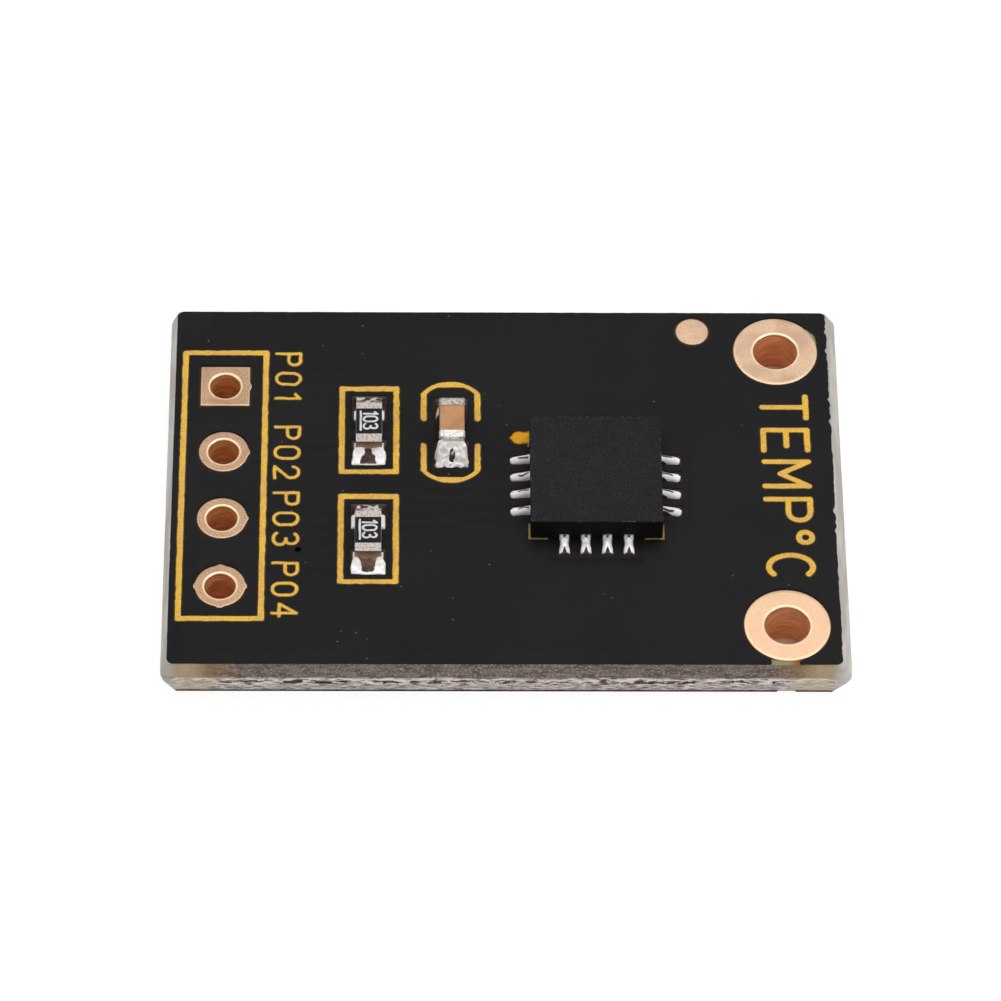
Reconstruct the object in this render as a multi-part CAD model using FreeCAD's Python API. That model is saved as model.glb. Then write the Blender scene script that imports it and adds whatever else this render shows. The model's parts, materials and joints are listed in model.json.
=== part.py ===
import FreeCAD, Part
import math
import os

# A four-wire temperature sensor module: a small printed board with a bare header row at one end,
# two plated mounting holes at the other, a leadless sensor, two pull-up resistors and one capacitor.
# Millimetres. The board lies flat on its back: +X runs from the header row to the mounting holes,
# +Y to the rear edge, +Z up. The origin is the middle of the back face.

# Layers, from the back face up
mask_thickness = 0.02
copper_thickness = 0.035
laminate_thickness = 1.49
ink_thickness = 0.015

# Board outline: the front face, and the scored edge that it was snapped out along.
# The snap left the web a little longer at the mounting end.
board_length = 20.19
board_width = 13.43
front_score_depth = 0.495
front_score_lean = 0.20
web_thickness = 0.20
back_score_lean = 0.31
snap_overhang = 0.09
corner_break = 0.14

# Copper artwork
artwork_shift = -0.05
pour_margin = 0.30
clearance = 0.27
track_width = 0.254
spoke_width = 0.36
spoke_bite = 0.135
plating_thickness = 0.05
rim_break = 0.055
mask_swell = 0.055

# Header row
header_count = 4
header_pitch = 2.54
header_hole = 0.92
header_pad = 1.524
header_inset = 1.546

# Mounting holes
mount_spacing = 10.456
mount_hole = 1.35
mount_ring = 2.60
mount_inset = 1.631

# Vias under the mask
via_hole = 0.30
via_pad = 0.60
supply_via_reach = 2.12
supply_via_rise = 0.07
return_via_reach = 2.32
return_via_rise = 0.46

# Where the tracks bend
supply_drop_reach = 1.19
lead_entry = 0.35
return_run_rise = 0.06
clock_run_rise = 0.03
data_jog_reach = 0.13

# Bare alignment dot
dot_size = 1.03
dot_inset_x = 4.195
dot_inset_y = 0.755
dot_swell = 0.07

# Where the front mask has worn away beside the mounting rings
worn_strip_width = 0.85
worn_strip_shift = -0.10
chipped_spot_size = 0.60
chipped_spot_overhang = 0.10
chipped_spot_angle = 28.0

# Chip parts, their lands and their places on the board
chip_length = 1.60
chip_width = 0.80
chip_land_length = 1.0
chip_land_width = 1.10
chip_land_spacing = 1.70
chip_solder_gap = 0.03
terminal_wall = 0.02
resistor_height = 0.45
resistor_band = 0.32
overcoat_inset = 0.005
overcoat_thickness = 0.035
capacitor_height = 0.80
capacitor_band = 0.32
capacitor_corner = 0.05
resistor_column = 4.44
resistor_rear_y = 2.10
resistor_front_y = -2.05
capacitor_column = 2.50
capacitor_y = 2.025
capacitor_slip_x = 0.04
capacitor_slip_y = -0.045

# Leadless sensor, its lands and its place on the board
sensor_column = 4.409
sensor_side = 4.0
sensor_mould_height = 0.83
sensor_slip_y = -0.03
lead_pitch = 0.65
leads_per_side = 4
lead_width = 0.30
lead_length = 0.40
lead_thickness = 0.20
lead_stand = 0.02
lead_land_width = 0.35
lead_land_inner = 1.50
lead_land_outer = 2.60
thermal_pad_side = 2.10
sensor_solder_gap = 0.03

# Solder fillets: how high they climb above the lands
resistor_fillet_height = 0.22
capacitor_fillet_height = 0.72
lead_fillet_height = 0.24
fillet_steps = 3
fillet_hollow = 2.2
fillet_edge = 0.02

# Printed legend
legend_line = 0.20
legend_dulling = 0.05
header_frame_width = 2.49
header_frame_length = 10.14
header_frame_rise = 0.03
chip_frame_width = 1.67
chip_frame_length = 3.21
bracket_width = 1.65
bracket_length = 3.78
bracket_gap = 0.83
bracket_rise = 0.40
bracket_arch_line = 0.16
corner_line = 0.09
corner_reach = 2.02
corner_arm = 0.56
corner_stub = 0.62
pin_dot = 0.46
pin_dot_out = 2.31
pin_dot_up = 1.81

# Levels
back_copper_z = mask_thickness
laminate_back_z = back_copper_z + copper_thickness
laminate_front_z = laminate_back_z + laminate_thickness
front_copper_z = laminate_front_z + copper_thickness
mask_front_z = front_copper_z + mask_thickness

# Half sizes of the board at its three outlines
front_half_x = board_length / 2
front_half_y = board_width / 2
web_half_x = front_half_x + front_score_lean
web_half_y = front_half_y + front_score_lean
back_half_x = web_half_x - back_score_lean
back_half_y = web_half_y - back_score_lean

# Places
header_x = -front_half_x + header_inset
header_ys = [artwork_shift + ((header_count - 1) / 2 - row) * header_pitch for row in range(header_count)]
mount_x = front_half_x - mount_inset
mount_ys = [artwork_shift + mount_spacing / 2, artwork_shift - mount_spacing / 2]
resistor_x = header_x + resistor_column
resistor_ys = [artwork_shift + resistor_rear_y, artwork_shift + resistor_front_y]
capacitor_land = (resistor_x + capacitor_column, artwork_shift + capacitor_y)
sensor_land = (capacitor_land[0] + sensor_column, artwork_shift)
sensor_place = (sensor_land[0], artwork_shift + sensor_slip_y)
dot_place = (front_half_x - dot_inset_x, front_half_y - dot_inset_y)
chip_land_reach = chip_land_spacing / 2
supply_via = (header_x + supply_via_reach, header_ys[0] + supply_via_rise)
return_via = (header_x + return_via_reach, resistor_ys[1] - chip_land_reach + return_via_rise)
vias = [supply_via, return_via]
header_drill = header_hole / 2 + plating_thickness
mount_drill = mount_hole / 2 + plating_thickness
via_drill = via_hole / 2 + plating_thickness / 2
header_spoke = header_pad / 2 + clearance + spoke_bite
land_spoke = chip_land_width / 2 + clearance + spoke_bite


def vector(x, y, z=0.0):
    return FreeCAD.Vector(x, y, z)


def polygon(corners):
    """A flat face at z = 0 through (x, y) corners, facing up whichever way round they run."""
    points = [vector(x, y) for x, y in corners]
    turns = zip(points, points[1:] + points[:1])
    if sum(first.x * second.y - second.x * first.y for first, second in turns) < 0:
        points.reverse()
    return Part.Face(Part.makePolygon(points + [points[0]]))


def disc(centre, radius):
    return Part.Face(Part.Wire(Part.makeCircle(radius, vector(centre[0], centre[1]))))


def block(centre, size_x, size_y):
    left = centre[0] - size_x / 2
    front = centre[1] - size_y / 2
    return polygon([(left, front), (left + size_x, front), (left + size_x, front + size_y), (left, front + size_y)])


def broken_block(centre, half_x, half_y, cut):
    """A rectangle with its four corners cut off."""
    x, y = centre
    return polygon(
        [
            (x - half_x + cut, y - half_y),
            (x + half_x - cut, y - half_y),
            (x + half_x, y - half_y + cut),
            (x + half_x, y + half_y - cut),
            (x + half_x - cut, y + half_y),
            (x - half_x + cut, y + half_y),
            (x - half_x, y + half_y - cut),
            (x - half_x, y - half_y + cut),
        ]
    )


def joined(faces):
    """Flat faces merged into one face for each separate patch that they cover."""
    groups = []
    for face in faces[0].multiFuse(faces[1:]).Faces if len(faces) > 1 else faces:
        edges = {edge.hashCode() for edge in face.Edges}
        members = [face]
        for group in [group for group in groups if group[0] & edges]:
            groups.remove(group)
            edges |= group[0]
            members += group[1]
        groups.append((edges, members))
    merged = [Part.Shell(members).removeSplitter() for edges, members in groups]
    return Part.makeCompound([face for shell in merged for face in shell.Faces])


def strip(points, width):
    """A track of constant width along a bent line, with mitred bends."""
    left = []
    right = []
    for index, (x, y) in enumerate(points):
        before = points[max(index - 1, 0)]
        after = points[min(index + 1, len(points) - 1)]
        into = vector(x - before[0], y - before[1])
        out = vector(after[0] - x, after[1] - y)
        if into.Length == 0:
            into = out
        if out.Length == 0:
            out = into
        into.normalize()
        out.normalize()
        middle = into + out
        middle.normalize()
        normal = vector(-middle.y, middle.x)
        reach = width / 2 / (-into.y * normal.x + into.x * normal.y)
        left.append((x + normal.x * reach, y + normal.y * reach))
        right.append((x - normal.x * reach, y - normal.y * reach))
    return polygon(left + right[::-1])


def slab(shape, bottom, height):
    """Every face of a flat shape raised to a level and thickened; a list of solids."""
    solids = []
    for face in shape.Faces:
        raised = face.copy()
        raised.translate(vector(0, 0, bottom))
        solids.append(raised.extrude(vector(0, 0, height)))
    return solids


def fused(solids):
    if len(solids) == 1:
        return solids[0]
    return solids[0].multiFuse(solids[1:]).removeSplitter()


def rod(centre, radius, bottom, top):
    return Part.makeCylinder(radius, top - bottom, vector(centre[0], centre[1], bottom))


def box(low, high):
    return Part.makeBox(high[0] - low[0], high[1] - low[1], high[2] - low[2], vector(*low))


def sensor_spot(side, along, outward, centre):
    """A place on one side of the sensor. Sides run left, front, right, rear, anticlockwise."""
    out = [(-1, 0), (0, -1), (1, 0), (0, 1)][side]
    return (centre[0] + out[0] * outward - out[1] * along, centre[1] + out[1] * outward + out[0] * along)


def lead_offset(place):
    return (place - (leads_per_side - 1) / 2) * lead_pitch


def lead_land(number, grow):
    side, place = divmod(number - 1, leads_per_side)
    middle = (lead_land_inner + lead_land_outer) / 2
    across = lead_land_width + 2 * grow
    length = lead_land_outer - lead_land_inner + 2 * grow
    centre = sensor_spot(side, lead_offset(place), middle, sensor_land)
    return block(centre, length, across) if side in (0, 2) else block(centre, across, length)


def lead_land_middle(number):
    side, place = divmod(number - 1, leads_per_side)
    return sensor_spot(side, lead_offset(place), (lead_land_inner + lead_land_outer) / 2, sensor_land)


def chip_land_centre(centre, end):
    return (centre[0], centre[1] + end * chip_land_reach)


def chip_land(centre, end, grow):
    size_x = chip_land_width + 2 * grow
    size_y = chip_land_length + 2 * grow
    return block(chip_land_centre(centre, end), size_x, size_y)


def eight_sided(centre, half):
    return broken_block(centre, half, half, half * (2 - math.sqrt(2)))


def round_pad(centre, radius, grow):
    """A round pad, or with some growth the eight-sided clearance that the pour keeps from it."""
    return disc(centre, radius) if grow == 0 else eight_sided(centre, radius + grow)


def header_pad_face(row, grow):
    centre = (header_x, header_ys[row])
    if row == 0:
        return block(centre, header_pad + 2 * grow, header_pad + 2 * grow)
    return round_pad(centre, header_pad / 2, grow)


def header_window(row):
    centre = (header_x, header_ys[row])
    half = header_pad / 2 + mask_swell
    return block(centre, 2 * half, 2 * half) if row == 0 else disc(centre, half)


def via_pad_face(place, grow):
    return eight_sided(place, via_pad / 2 + grow)


resistor_places = [(resistor_x, y) for y in resistor_ys]
all_leads = leads_per_side * 4
free_leads = [number for number in range(1, all_leads + 1) if number > leads_per_side]


def supply_front(grow):
    """The supply net on the front: pad 1, a via, three chip lands, the second via and lead 1."""
    width = track_width + 2 * grow
    rear_land = chip_land_centre(resistor_places[0], 1)
    front_land = chip_land_centre(resistor_places[1], -1)
    lead = lead_land_middle(1)
    run_y = supply_via[1]
    bend_x = rear_land[0] - (run_y - rear_land[1])
    drop_x = capacitor_land[0] + supply_drop_reach
    turn_y = lead[1] + lead_entry
    drop = return_via[1] - (front_land[1] + return_run_rise)
    return [
        header_pad_face(0, grow),
        strip([(header_x, run_y), (bend_x, run_y), rear_land], width),
        strip(
            [rear_land, (drop_x, rear_land[1]), (drop_x, turn_y), (drop_x + lead_entry, lead[1]), lead],
            width,
        ),
        strip(
            [
                return_via,
                (return_via[0] + drop, return_via[1] - drop),
                (front_land[0], return_via[1] - drop),
            ],
            width,
        ),
        via_pad_face(supply_via, grow),
        via_pad_face(return_via, grow),
        chip_land(resistor_places[0], 1, grow),
        chip_land(resistor_places[1], -1, grow),
        chip_land(capacitor_land, 1, grow),
        lead_land(1, grow),
    ]


def clock_front(grow):
    """The clock net: pad 2, the rear resistor's front land and lead 3."""
    width = track_width + 2 * grow
    land = chip_land_centre(resistor_places[0], -1)
    lead = lead_land_middle(3)
    run_y = header_ys[1] + clock_run_rise
    return [
        header_pad_face(1, grow),
        strip([(header_x, run_y), (land[0], run_y)], width),
        strip([land, (land[0] + land[1] - lead[1], lead[1]), lead], width),
        chip_land(resistor_places[0], -1, grow),
        lead_land(3, grow),
    ]


def data_front(grow):
    """The data net: pad 3, the front resistor's rear land and lead 4."""
    width = track_width + 2 * grow
    lead = lead_land_middle(4)
    run_y = header_ys[2]
    jog_x = capacitor_land[0] - data_jog_reach
    return [
        header_pad_face(2, grow),
        strip([(header_x, run_y), (jog_x, run_y), (jog_x + lead[1] - run_y, lead[1]), lead], width),
        chip_land(resistor_places[1], 1, grow),
        lead_land(4, grow),
    ]


def ground_lands():
    """Ground's own pads and lands on the front, with the tracks that tie them together."""
    land = chip_land_centre(capacitor_land, -1)
    lead = lead_land_middle(2)
    pad_y = header_ys[header_count - 1]
    return [
        header_pad_face(header_count - 1, 0),
        strip([(header_x - header_spoke, pad_y), (header_x + header_spoke, pad_y)], spoke_width),
        strip([(header_x, pad_y - header_spoke), (header_x, pad_y + header_spoke)], spoke_width),
        chip_land(capacitor_land, -1, 0),
        strip([(land[0] - land_spoke, land[1]), (land[0] + land_spoke, land[1])], spoke_width),
        strip([land, (land[0], land[1] - land_spoke)], spoke_width),
        lead_land(2, 0),
        strip([(land[0] + land_spoke, lead[1]), (sensor_land[0], lead[1])], track_width),
        block(sensor_land, thermal_pad_side, thermal_pad_side),
    ]


def loose_copper(grow):
    """Copper with no net on the front: the mounting rings, the dot and the unused lands."""
    faces = [round_pad((mount_x, y), mount_ring / 2, grow) for y in mount_ys]
    faces.append(round_pad(dot_place, dot_size / 2, grow))
    return faces + [lead_land(number, grow) for number in free_leads]


def ground_openings():
    """What keeps the ground pour away from ground's own pads, so that they can be soldered."""
    pad_opening = thermal_pad_side + 2 * clearance
    return [
        header_pad_face(header_count - 1, clearance),
        chip_land(capacitor_land, -1, clearance),
        block(sensor_land, pad_opening, pad_opening),
    ]


def connected(shape, anchors):
    """The faces of a flat shape that hold one of the anchor points."""
    kept = []
    for face in shape.Faces:
        if any(face.isInside(vector(*anchor), 1e-4, True) for anchor in anchors):
            kept.append(face)
    return Part.makeCompound(kept)


def front_ground():
    """Ground on the front: a pour that stays clear of every other net, and ground's own lands."""
    sheet = block((0, 0), board_length - 2 * pour_margin, board_width - 2 * pour_margin)
    others = supply_front(clearance) + clock_front(clearance) + data_front(clearance)
    pour = sheet.cut(others + loose_copper(clearance) + ground_openings())
    anchors = [
        (header_x, header_ys[header_count - 1]),
        chip_land_centre(capacitor_land, -1),
        sensor_land,
    ]
    return connected(joined(pour.Faces + ground_lands()), anchors)


def back_supply():
    """The supply net on the back: pad 1 and the track that passes under the other nets."""
    under_run = strip([supply_via, return_via], track_width)
    return [header_pad_face(0, 0), under_run, via_pad_face(supply_via, 0), via_pad_face(return_via, 0)]


def plated_bore(centre, hole, bottom, top):
    """The space inside a plated hole, with its front rim broken."""
    radius = hole / 2
    bore = rod(centre, radius, bottom, top)
    rim = Part.makeCone(radius, radius + rim_break, rim_break, vector(centre[0], centre[1], top - rim_break))
    return fused([bore, rim])


def net(front, back, bores, vias):
    """One net as one solid: its front copper, its back copper and its plated barrels."""
    solids = slab(front, laminate_front_z, copper_thickness)
    solids += slab(back, back_copper_z, copper_thickness)
    solids += [rod(place, drill, laminate_back_z, laminate_front_z) for place, hole, drill in bores]
    solids += [rod(place, via_drill, laminate_back_z, laminate_front_z) for place in vias]
    shape = fused(solids)
    for place, hole, drill in bores:
        shape = shape.cut(plated_bore(place, hole, back_copper_z, front_copper_z))
    for place in vias:
        shape = shape.cut(rod(place, via_hole / 2, back_copper_z, front_copper_z))
    return shape


def header_bore(row):
    return ((header_x, header_ys[row]), header_hole, header_drill)


def make_laminate_core():
    """The laminate: front face, sloping score, snapped web, back score, and its drilled holes."""
    web_top = laminate_front_z - front_score_depth
    outlines = [
        (laminate_back_z, back_half_x, back_half_y, 0),
        (web_top - web_thickness, web_half_x, web_half_y, snap_overhang),
        (web_top, web_half_x, web_half_y, snap_overhang),
        (laminate_front_z, front_half_x, front_half_y, 0),
    ]
    wires = []
    for level, half_x, half_y, overhang in outlines:
        wire = broken_block((overhang / 2, 0), half_x + overhang / 2, half_y, corner_break).OuterWire
        wire.translate(vector(0, 0, level))
        wires.append(wire)
    core = Part.makeLoft(wires, True, True)
    drills = [rod((header_x, y), header_drill, 0, mask_front_z) for y in header_ys]
    drills += [rod((mount_x, y), mount_drill, 0, mask_front_z) for y in mount_ys]
    drills += [rod(place, via_drill, 0, mask_front_z) for place in vias]
    return core.cut(drills)


def make_copper():
    """Every copper piece: the four nets, the two mounting eyelets, the dot and the unused lands."""
    pieces = {}
    header_bores = [header_bore(row) for row in range(header_count)]
    pieces["copper_supply"] = net(
        joined(supply_front(0)), joined(back_supply()), header_bores[:1], vias
    )
    pieces["copper_clock"] = net(joined(clock_front(0)), header_pad_face(1, 0), [header_bores[1]], [])
    pieces["copper_data"] = net(joined(data_front(0)), header_pad_face(2, 0), [header_bores[2]], [])
    last = header_count - 1
    pieces["copper_ground"] = net(front_ground(), header_pad_face(last, 0), header_bores[last:], [])
    for name, y in zip(("mounting_eyelet_rear", "mounting_eyelet_front"), mount_ys):
        ring = disc((mount_x, y), mount_ring / 2)
        pieces[name] = net(ring, ring, [((mount_x, y), mount_hole, mount_drill)], [])
    dot = disc(dot_place, dot_size / 2)
    pieces["alignment_dot"] = slab(dot, laminate_front_z, copper_thickness)[0]
    unused = []
    for number in free_leads:
        unused += slab(lead_land(number, 0), laminate_front_z, copper_thickness)
    pieces["sensor_unused_lands"] = Part.makeCompound(unused)
    return pieces


def mask_windows():
    """Windows in the front mask, a little larger than what they bare, and two worn places."""
    faces = [header_window(row) for row in range(header_count)]
    faces += [disc((mount_x, y), mount_ring / 2 + mask_swell) for y in mount_ys]
    faces.append(disc(dot_place, dot_size / 2 + dot_swell))
    faces += [lead_land(number, mask_swell) for number in range(1, all_leads + 1)]
    faces += [chip_land(place, end, mask_swell) for place in resistor_places for end in (-1, 1)]
    faces += [chip_land(capacitor_land, end, mask_swell) for end in (-1, 1)]
    faces.append(block(sensor_land, thermal_pad_side, thermal_pad_side))
    worn_low = -front_half_y - mask_swell
    worn_high = mount_ys[1] - mount_ring / 4
    worn_middle = (mount_x + worn_strip_shift, (worn_low + worn_high) / 2)
    faces.append(block(worn_middle, worn_strip_width, worn_high - worn_low))
    spot_reach = (mount_ring - chipped_spot_size) / 2 + chipped_spot_overhang
    angle = math.radians(chipped_spot_angle)
    spot = (mount_x + spot_reach * math.cos(angle), mount_ys[0] + spot_reach * math.sin(angle))
    faces.append(disc(spot, chipped_spot_size / 2))
    return joined(faces)


def make_front_mask(copper):
    """The front mask: a level skin over the copper, open at its windows and at the mouths of the vias."""
    outline = broken_block((0, 0), front_half_x, front_half_y, corner_break)
    height = mask_front_z - laminate_front_z
    skin = slab(outline, laminate_front_z, height)[0]
    mouths = [rod(place, via_hole / 2, laminate_front_z, mask_front_z) for place in vias]
    return skin.cut(copper + slab(mask_windows(), laminate_front_z, height) + mouths)


def make_back_mask(copper):
    """The back mask: a level skin that closes the vias and covers the back track."""
    outline = broken_block((0, 0), back_half_x, back_half_y, corner_break)
    windows = [header_window(row) for row in range(header_count)]
    windows += [disc((mount_x, y), mount_ring / 2 + mask_swell) for y in mount_ys]
    skin = slab(outline, 0, laminate_back_z)[0]
    skin = skin.cut(slab(joined(windows), 0, laminate_back_z) + copper)
    return skin


def printed(shape):
    """Ink laid on the mask."""
    return Part.makeCompound(slab(shape, mask_front_z, ink_thickness))


def frame_face(centre, width, length):
    """A printed rectangle's line, its outer corners dulled."""
    outer = broken_block(centre, (width + legend_line) / 2, (length + legend_line) / 2, legend_dulling)
    return outer.cut(block(centre, width - legend_line, length - legend_line))


def arched_block(width, rise, crown, arch_line):
    """A rectangle whose ends bulge as shallow arcs; crown is where the arcs' middle line tops out."""
    x, y = capacitor_land
    radius = (bracket_width ** 2 / 4 + rise ** 2) / (2 * rise)
    body = block(capacitor_land, width, 2 * (crown - radius))
    faces = [body]
    for end in (-1, 1):
        bulge = disc((x, y + end * (crown - radius)), radius + arch_line / 2)
        faces.append(bulge.common(block(capacitor_land, width, 2 * (crown + arch_line))))
    return joined(faces)


def bracket_face():
    """Two facing brackets with arched ends and dulled tips, open at the sides."""
    half = legend_line / 2
    crown = bracket_length / 2
    outer = arched_block(bracket_width + legend_line, bracket_rise, crown, bracket_arch_line)
    inner = arched_block(bracket_width - legend_line, bracket_rise, crown, -bracket_arch_line)
    gap = block(capacitor_land, bracket_width + 3 * legend_line, bracket_gap + legend_line)
    ring = outer.cut(inner).cut(gap)
    ends = []
    for side_x in (-1, 1):
        for side_y in (-1, 1):
            x = capacitor_land[0] + side_x * bracket_width / 2
            y = capacitor_land[1] + side_y * (bracket_gap + legend_line) / 2
            ends.append(eight_sided((x, y), half))
    return joined(ring.Faces + ends)


def corner_faces():
    """Corner marks at the front of the sensor, and an upright stub beside lead 1."""
    faces = []
    x0, y0 = sensor_land
    for side in (-1, 1):
        corner = (x0 + side * corner_reach, y0 - corner_reach)
        across = (corner[0] - side * corner_arm, corner[1])
        up = (corner[0], corner[1] + corner_arm)
        faces.append(strip([across, corner, up], corner_line))
    stub_x = x0 - corner_reach
    stub_top = y0 + corner_reach + corner_line / 2
    faces.append(strip([(stub_x, stub_top), (stub_x, stub_top - corner_stub)], corner_line))
    return Part.makeCompound(faces)


def make_legend():
    pieces = {}
    header_centre = (header_x, artwork_shift + header_frame_rise)
    header_face = frame_face(header_centre, header_frame_width, header_frame_length)
    pieces["legend_header_frame"] = printed(header_face)
    for name, place in zip(("legend_resistor_frame_rear", "legend_resistor_frame_front"), resistor_places):
        pieces[name] = printed(frame_face(place, chip_frame_width, chip_frame_length))
    pieces["legend_capacitor_brackets"] = printed(bracket_face())
    pieces["legend_sensor_corners"] = printed(corner_faces())
    dot_centre = (sensor_land[0] - pin_dot_out, sensor_land[1] + pin_dot_up)
    pieces["legend_pin_one_dot"] = printed(disc(dot_centre, pin_dot / 2))
    return pieces


def fillet_stack(half_width, low_half_width, reach, inner, height):
    """A solder joint seen from its end: wide on the land, hollow, and slim where it meets the part.
    It runs along +Y from inner (negative, under the part) to reach, and stands on z = 0."""
    wires = []
    for step in range(fillet_steps + 1):
        share = step / fillet_steps
        hollow = (1 - share) ** fillet_hollow
        out = fillet_edge + (reach - fillet_edge) * hollow
        half = half_width + (low_half_width - half_width) * hollow
        level = height * share
        corners = [vector(-half, inner, level), vector(half, inner, level)]
        corners += [vector(half, out, level), vector(-half, out, level)]
        wires.append(Part.makePolygon(corners + [corners[0]]))
    return Part.makeLoft(wires, True, True)


def turned(shape, angle, place):
    """A shape made round the origin, turned about Z and set on the front copper at a place."""
    moved = shape.copy()
    moved.rotate(vector(0, 0, 0), vector(0, 0, 1), angle)
    moved.translate(vector(place[0], place[1], front_copper_z))
    return moved


def chip_joint(centre, land_place, end, chip, height):
    """Solder at one end of a chip part, round the terminal and under it."""
    tip_y = centre[1] + end * chip_length / 2
    land_tip = chip_land_centre(land_place, end)[1] + end * chip_land_length / 2
    land_heel = land_tip - end * chip_land_length
    reach = end * (land_tip - tip_y)
    inner = end * (land_heel - tip_y)
    low_half = chip_land_width / 2 - abs(centre[0] - land_place[0])
    joint = fillet_stack(chip_width / 2 + fillet_edge, low_half, reach, inner, height)
    joint = turned(joint, 0 if end > 0 else 180, (centre[0], tip_y))
    return joint.cut(chip)


def chip_block(centre, height):
    bottom = front_copper_z + chip_solder_gap
    return box(
        (centre[0] - chip_width / 2, centre[1] - chip_length / 2, bottom),
        (centre[0] + chip_width / 2, centre[1] + chip_length / 2, bottom + height),
    )


def make_resistor(name, centre):
    """A thick-film chip resistor: ceramic slip, dark overcoat and two wrapped end terminals."""
    pieces = {}
    whole = chip_block(centre, resistor_height)
    bounds = whole.BoundBox
    ceramic = box(
        (bounds.XMin, bounds.YMin + terminal_wall, bounds.ZMin + terminal_wall),
        (bounds.XMax, bounds.YMax - terminal_wall, bounds.ZMax - terminal_wall),
    )
    pieces[name + "_ceramic"] = ceramic
    coat_half_x = chip_width / 2 - overcoat_inset
    coat_half_y = chip_length / 2 - resistor_band
    coat_low = bounds.ZMax - terminal_wall
    pieces[name + "_overcoat"] = box(
        (centre[0] - coat_half_x, centre[1] - coat_half_y, coat_low),
        (centre[0] + coat_half_x, centre[1] + coat_half_y, coat_low + overcoat_thickness),
    )
    solder = []
    for label, end in (("rear", 1), ("front", -1)):
        tip_y = centre[1] + end * chip_length / 2
        heel_y = tip_y - end * resistor_band
        band = box(
            (bounds.XMin, min(tip_y, heel_y), bounds.ZMin),
            (bounds.XMax, max(tip_y, heel_y), bounds.ZMax),
        )
        pieces[name + "_terminal_" + label] = band.cut(ceramic)
        joint = chip_joint(centre, centre, end, whole, resistor_fillet_height)
        pieces[name + "_solder_" + label] = joint
    return pieces


def make_capacitor():
    """A multilayer ceramic capacitor, its corners tumbled off, set a little askew on its lands."""
    pieces = {}
    centre = (capacitor_land[0] + capacitor_slip_x, capacitor_land[1] + capacitor_slip_y)
    whole = chip_block(centre, capacitor_height)
    bounds = whole.BoundBox
    broken = whole.makeChamfer(capacitor_corner, whole.Edges)
    ceramic = box(
        (bounds.XMin + terminal_wall, bounds.YMin + terminal_wall, bounds.ZMin + terminal_wall),
        (bounds.XMax - terminal_wall, bounds.YMax - terminal_wall, bounds.ZMax - terminal_wall),
    )
    pieces["capacitor_ceramic"] = ceramic.makeChamfer(capacitor_corner - terminal_wall, ceramic.Edges)
    for label, end in (("rear", 1), ("front", -1)):
        tip_y = centre[1] + end * chip_length / 2
        heel_y = tip_y - end * capacitor_band
        band = box(
            (bounds.XMin, min(tip_y, heel_y), bounds.ZMin),
            (bounds.XMax, max(tip_y, heel_y), bounds.ZMax),
        )
        pieces["capacitor_terminal_" + label] = broken.common(band).cut(pieces["capacitor_ceramic"])
        joint = chip_joint(centre, capacitor_land, end, broken, capacitor_fillet_height)
        pieces["capacitor_solder_" + label] = joint
    return pieces


def make_sensor():
    """The leadless sensor: moulding, sixteen edge terminals, the pad under it, and all its solder."""
    pieces = {}
    half = sensor_side / 2
    x0, y0 = sensor_place
    lead_bottom = front_copper_z + sensor_solder_gap
    mould_bottom = lead_bottom + lead_stand
    moulding = box(
        (x0 - half, y0 - half, mould_bottom),
        (x0 + half, y0 + half, mould_bottom + sensor_mould_height),
    )
    pad_half = thermal_pad_side / 2
    thermal_pad = box(
        (x0 - pad_half, y0 - pad_half, lead_bottom),
        (x0 + pad_half, y0 + pad_half, lead_bottom + lead_thickness),
    )
    leads = []
    joints = {"left": [], "front": [], "right": [], "rear": []}
    for number in range(1, all_leads + 1):
        side, place = divmod(number - 1, leads_per_side)
        along = lead_offset(place)
        angle = [90, 180, 270, 0][side]
        lead = box(
            (-lead_width / 2, -lead_length, sensor_solder_gap),
            (lead_width / 2, 0, sensor_solder_gap + lead_thickness),
        )
        spot = sensor_spot(side, along, half, sensor_place)
        lead = turned(lead, angle, spot)
        leads.append(lead)
        pieces["sensor_terminal_%02d" % number] = lead
        land_tip = sensor_spot(side, along, lead_land_outer, sensor_land)
        reach = abs(land_tip[0] - spot[0]) if side in (0, 2) else abs(land_tip[1] - spot[1])
        offset = abs(land_tip[1] - spot[1]) if side in (0, 2) else abs(land_tip[0] - spot[0])
        low_half = lead_land_width / 2 - offset
        joint = fillet_stack(lead_width / 2, low_half, reach, -lead_length, lead_fillet_height)
        joint = turned(joint, angle, spot)
        joints[["left", "front", "right", "rear"][side]].append(joint.cut([lead, moulding]))
    pieces["sensor_moulding"] = moulding.cut(leads + [thermal_pad])
    pieces["sensor_thermal_pad"] = thermal_pad
    under = box(
        (x0 - pad_half, y0 - pad_half, front_copper_z),
        (x0 + pad_half, y0 + pad_half, lead_bottom),
    )
    land = box(
        (sensor_land[0] - pad_half, sensor_land[1] - pad_half, front_copper_z),
        (sensor_land[0] + pad_half, sensor_land[1] + pad_half, lead_bottom),
    )
    pieces["sensor_solder_centre"] = under.common(land)
    for label, solids in joints.items():
        pieces["sensor_solder_" + label] = Part.makeCompound(solids)
    return pieces


def make_pieces():
    pieces = {"laminate_core": make_laminate_core()}
    copper = make_copper()
    pieces.update(copper)
    pieces["front_solder_mask"] = make_front_mask(list(copper.values()))
    pieces["back_solder_mask"] = make_back_mask(list(copper.values()))
    pieces.update(make_legend())
    pieces.update(make_resistor("resistor_rear", resistor_places[0]))
    pieces.update(make_resistor("resistor_front", resistor_places[1]))
    pieces.update(make_capacitor())
    pieces.update(make_sensor())
    return pieces


os.makedirs("parts", exist_ok=True)
for node, shape in make_pieces().items():
    shape.exportStep("parts/" + node + ".step")
    print(node, len(shape.Solids), round(shape.Volume, 5))
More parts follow.
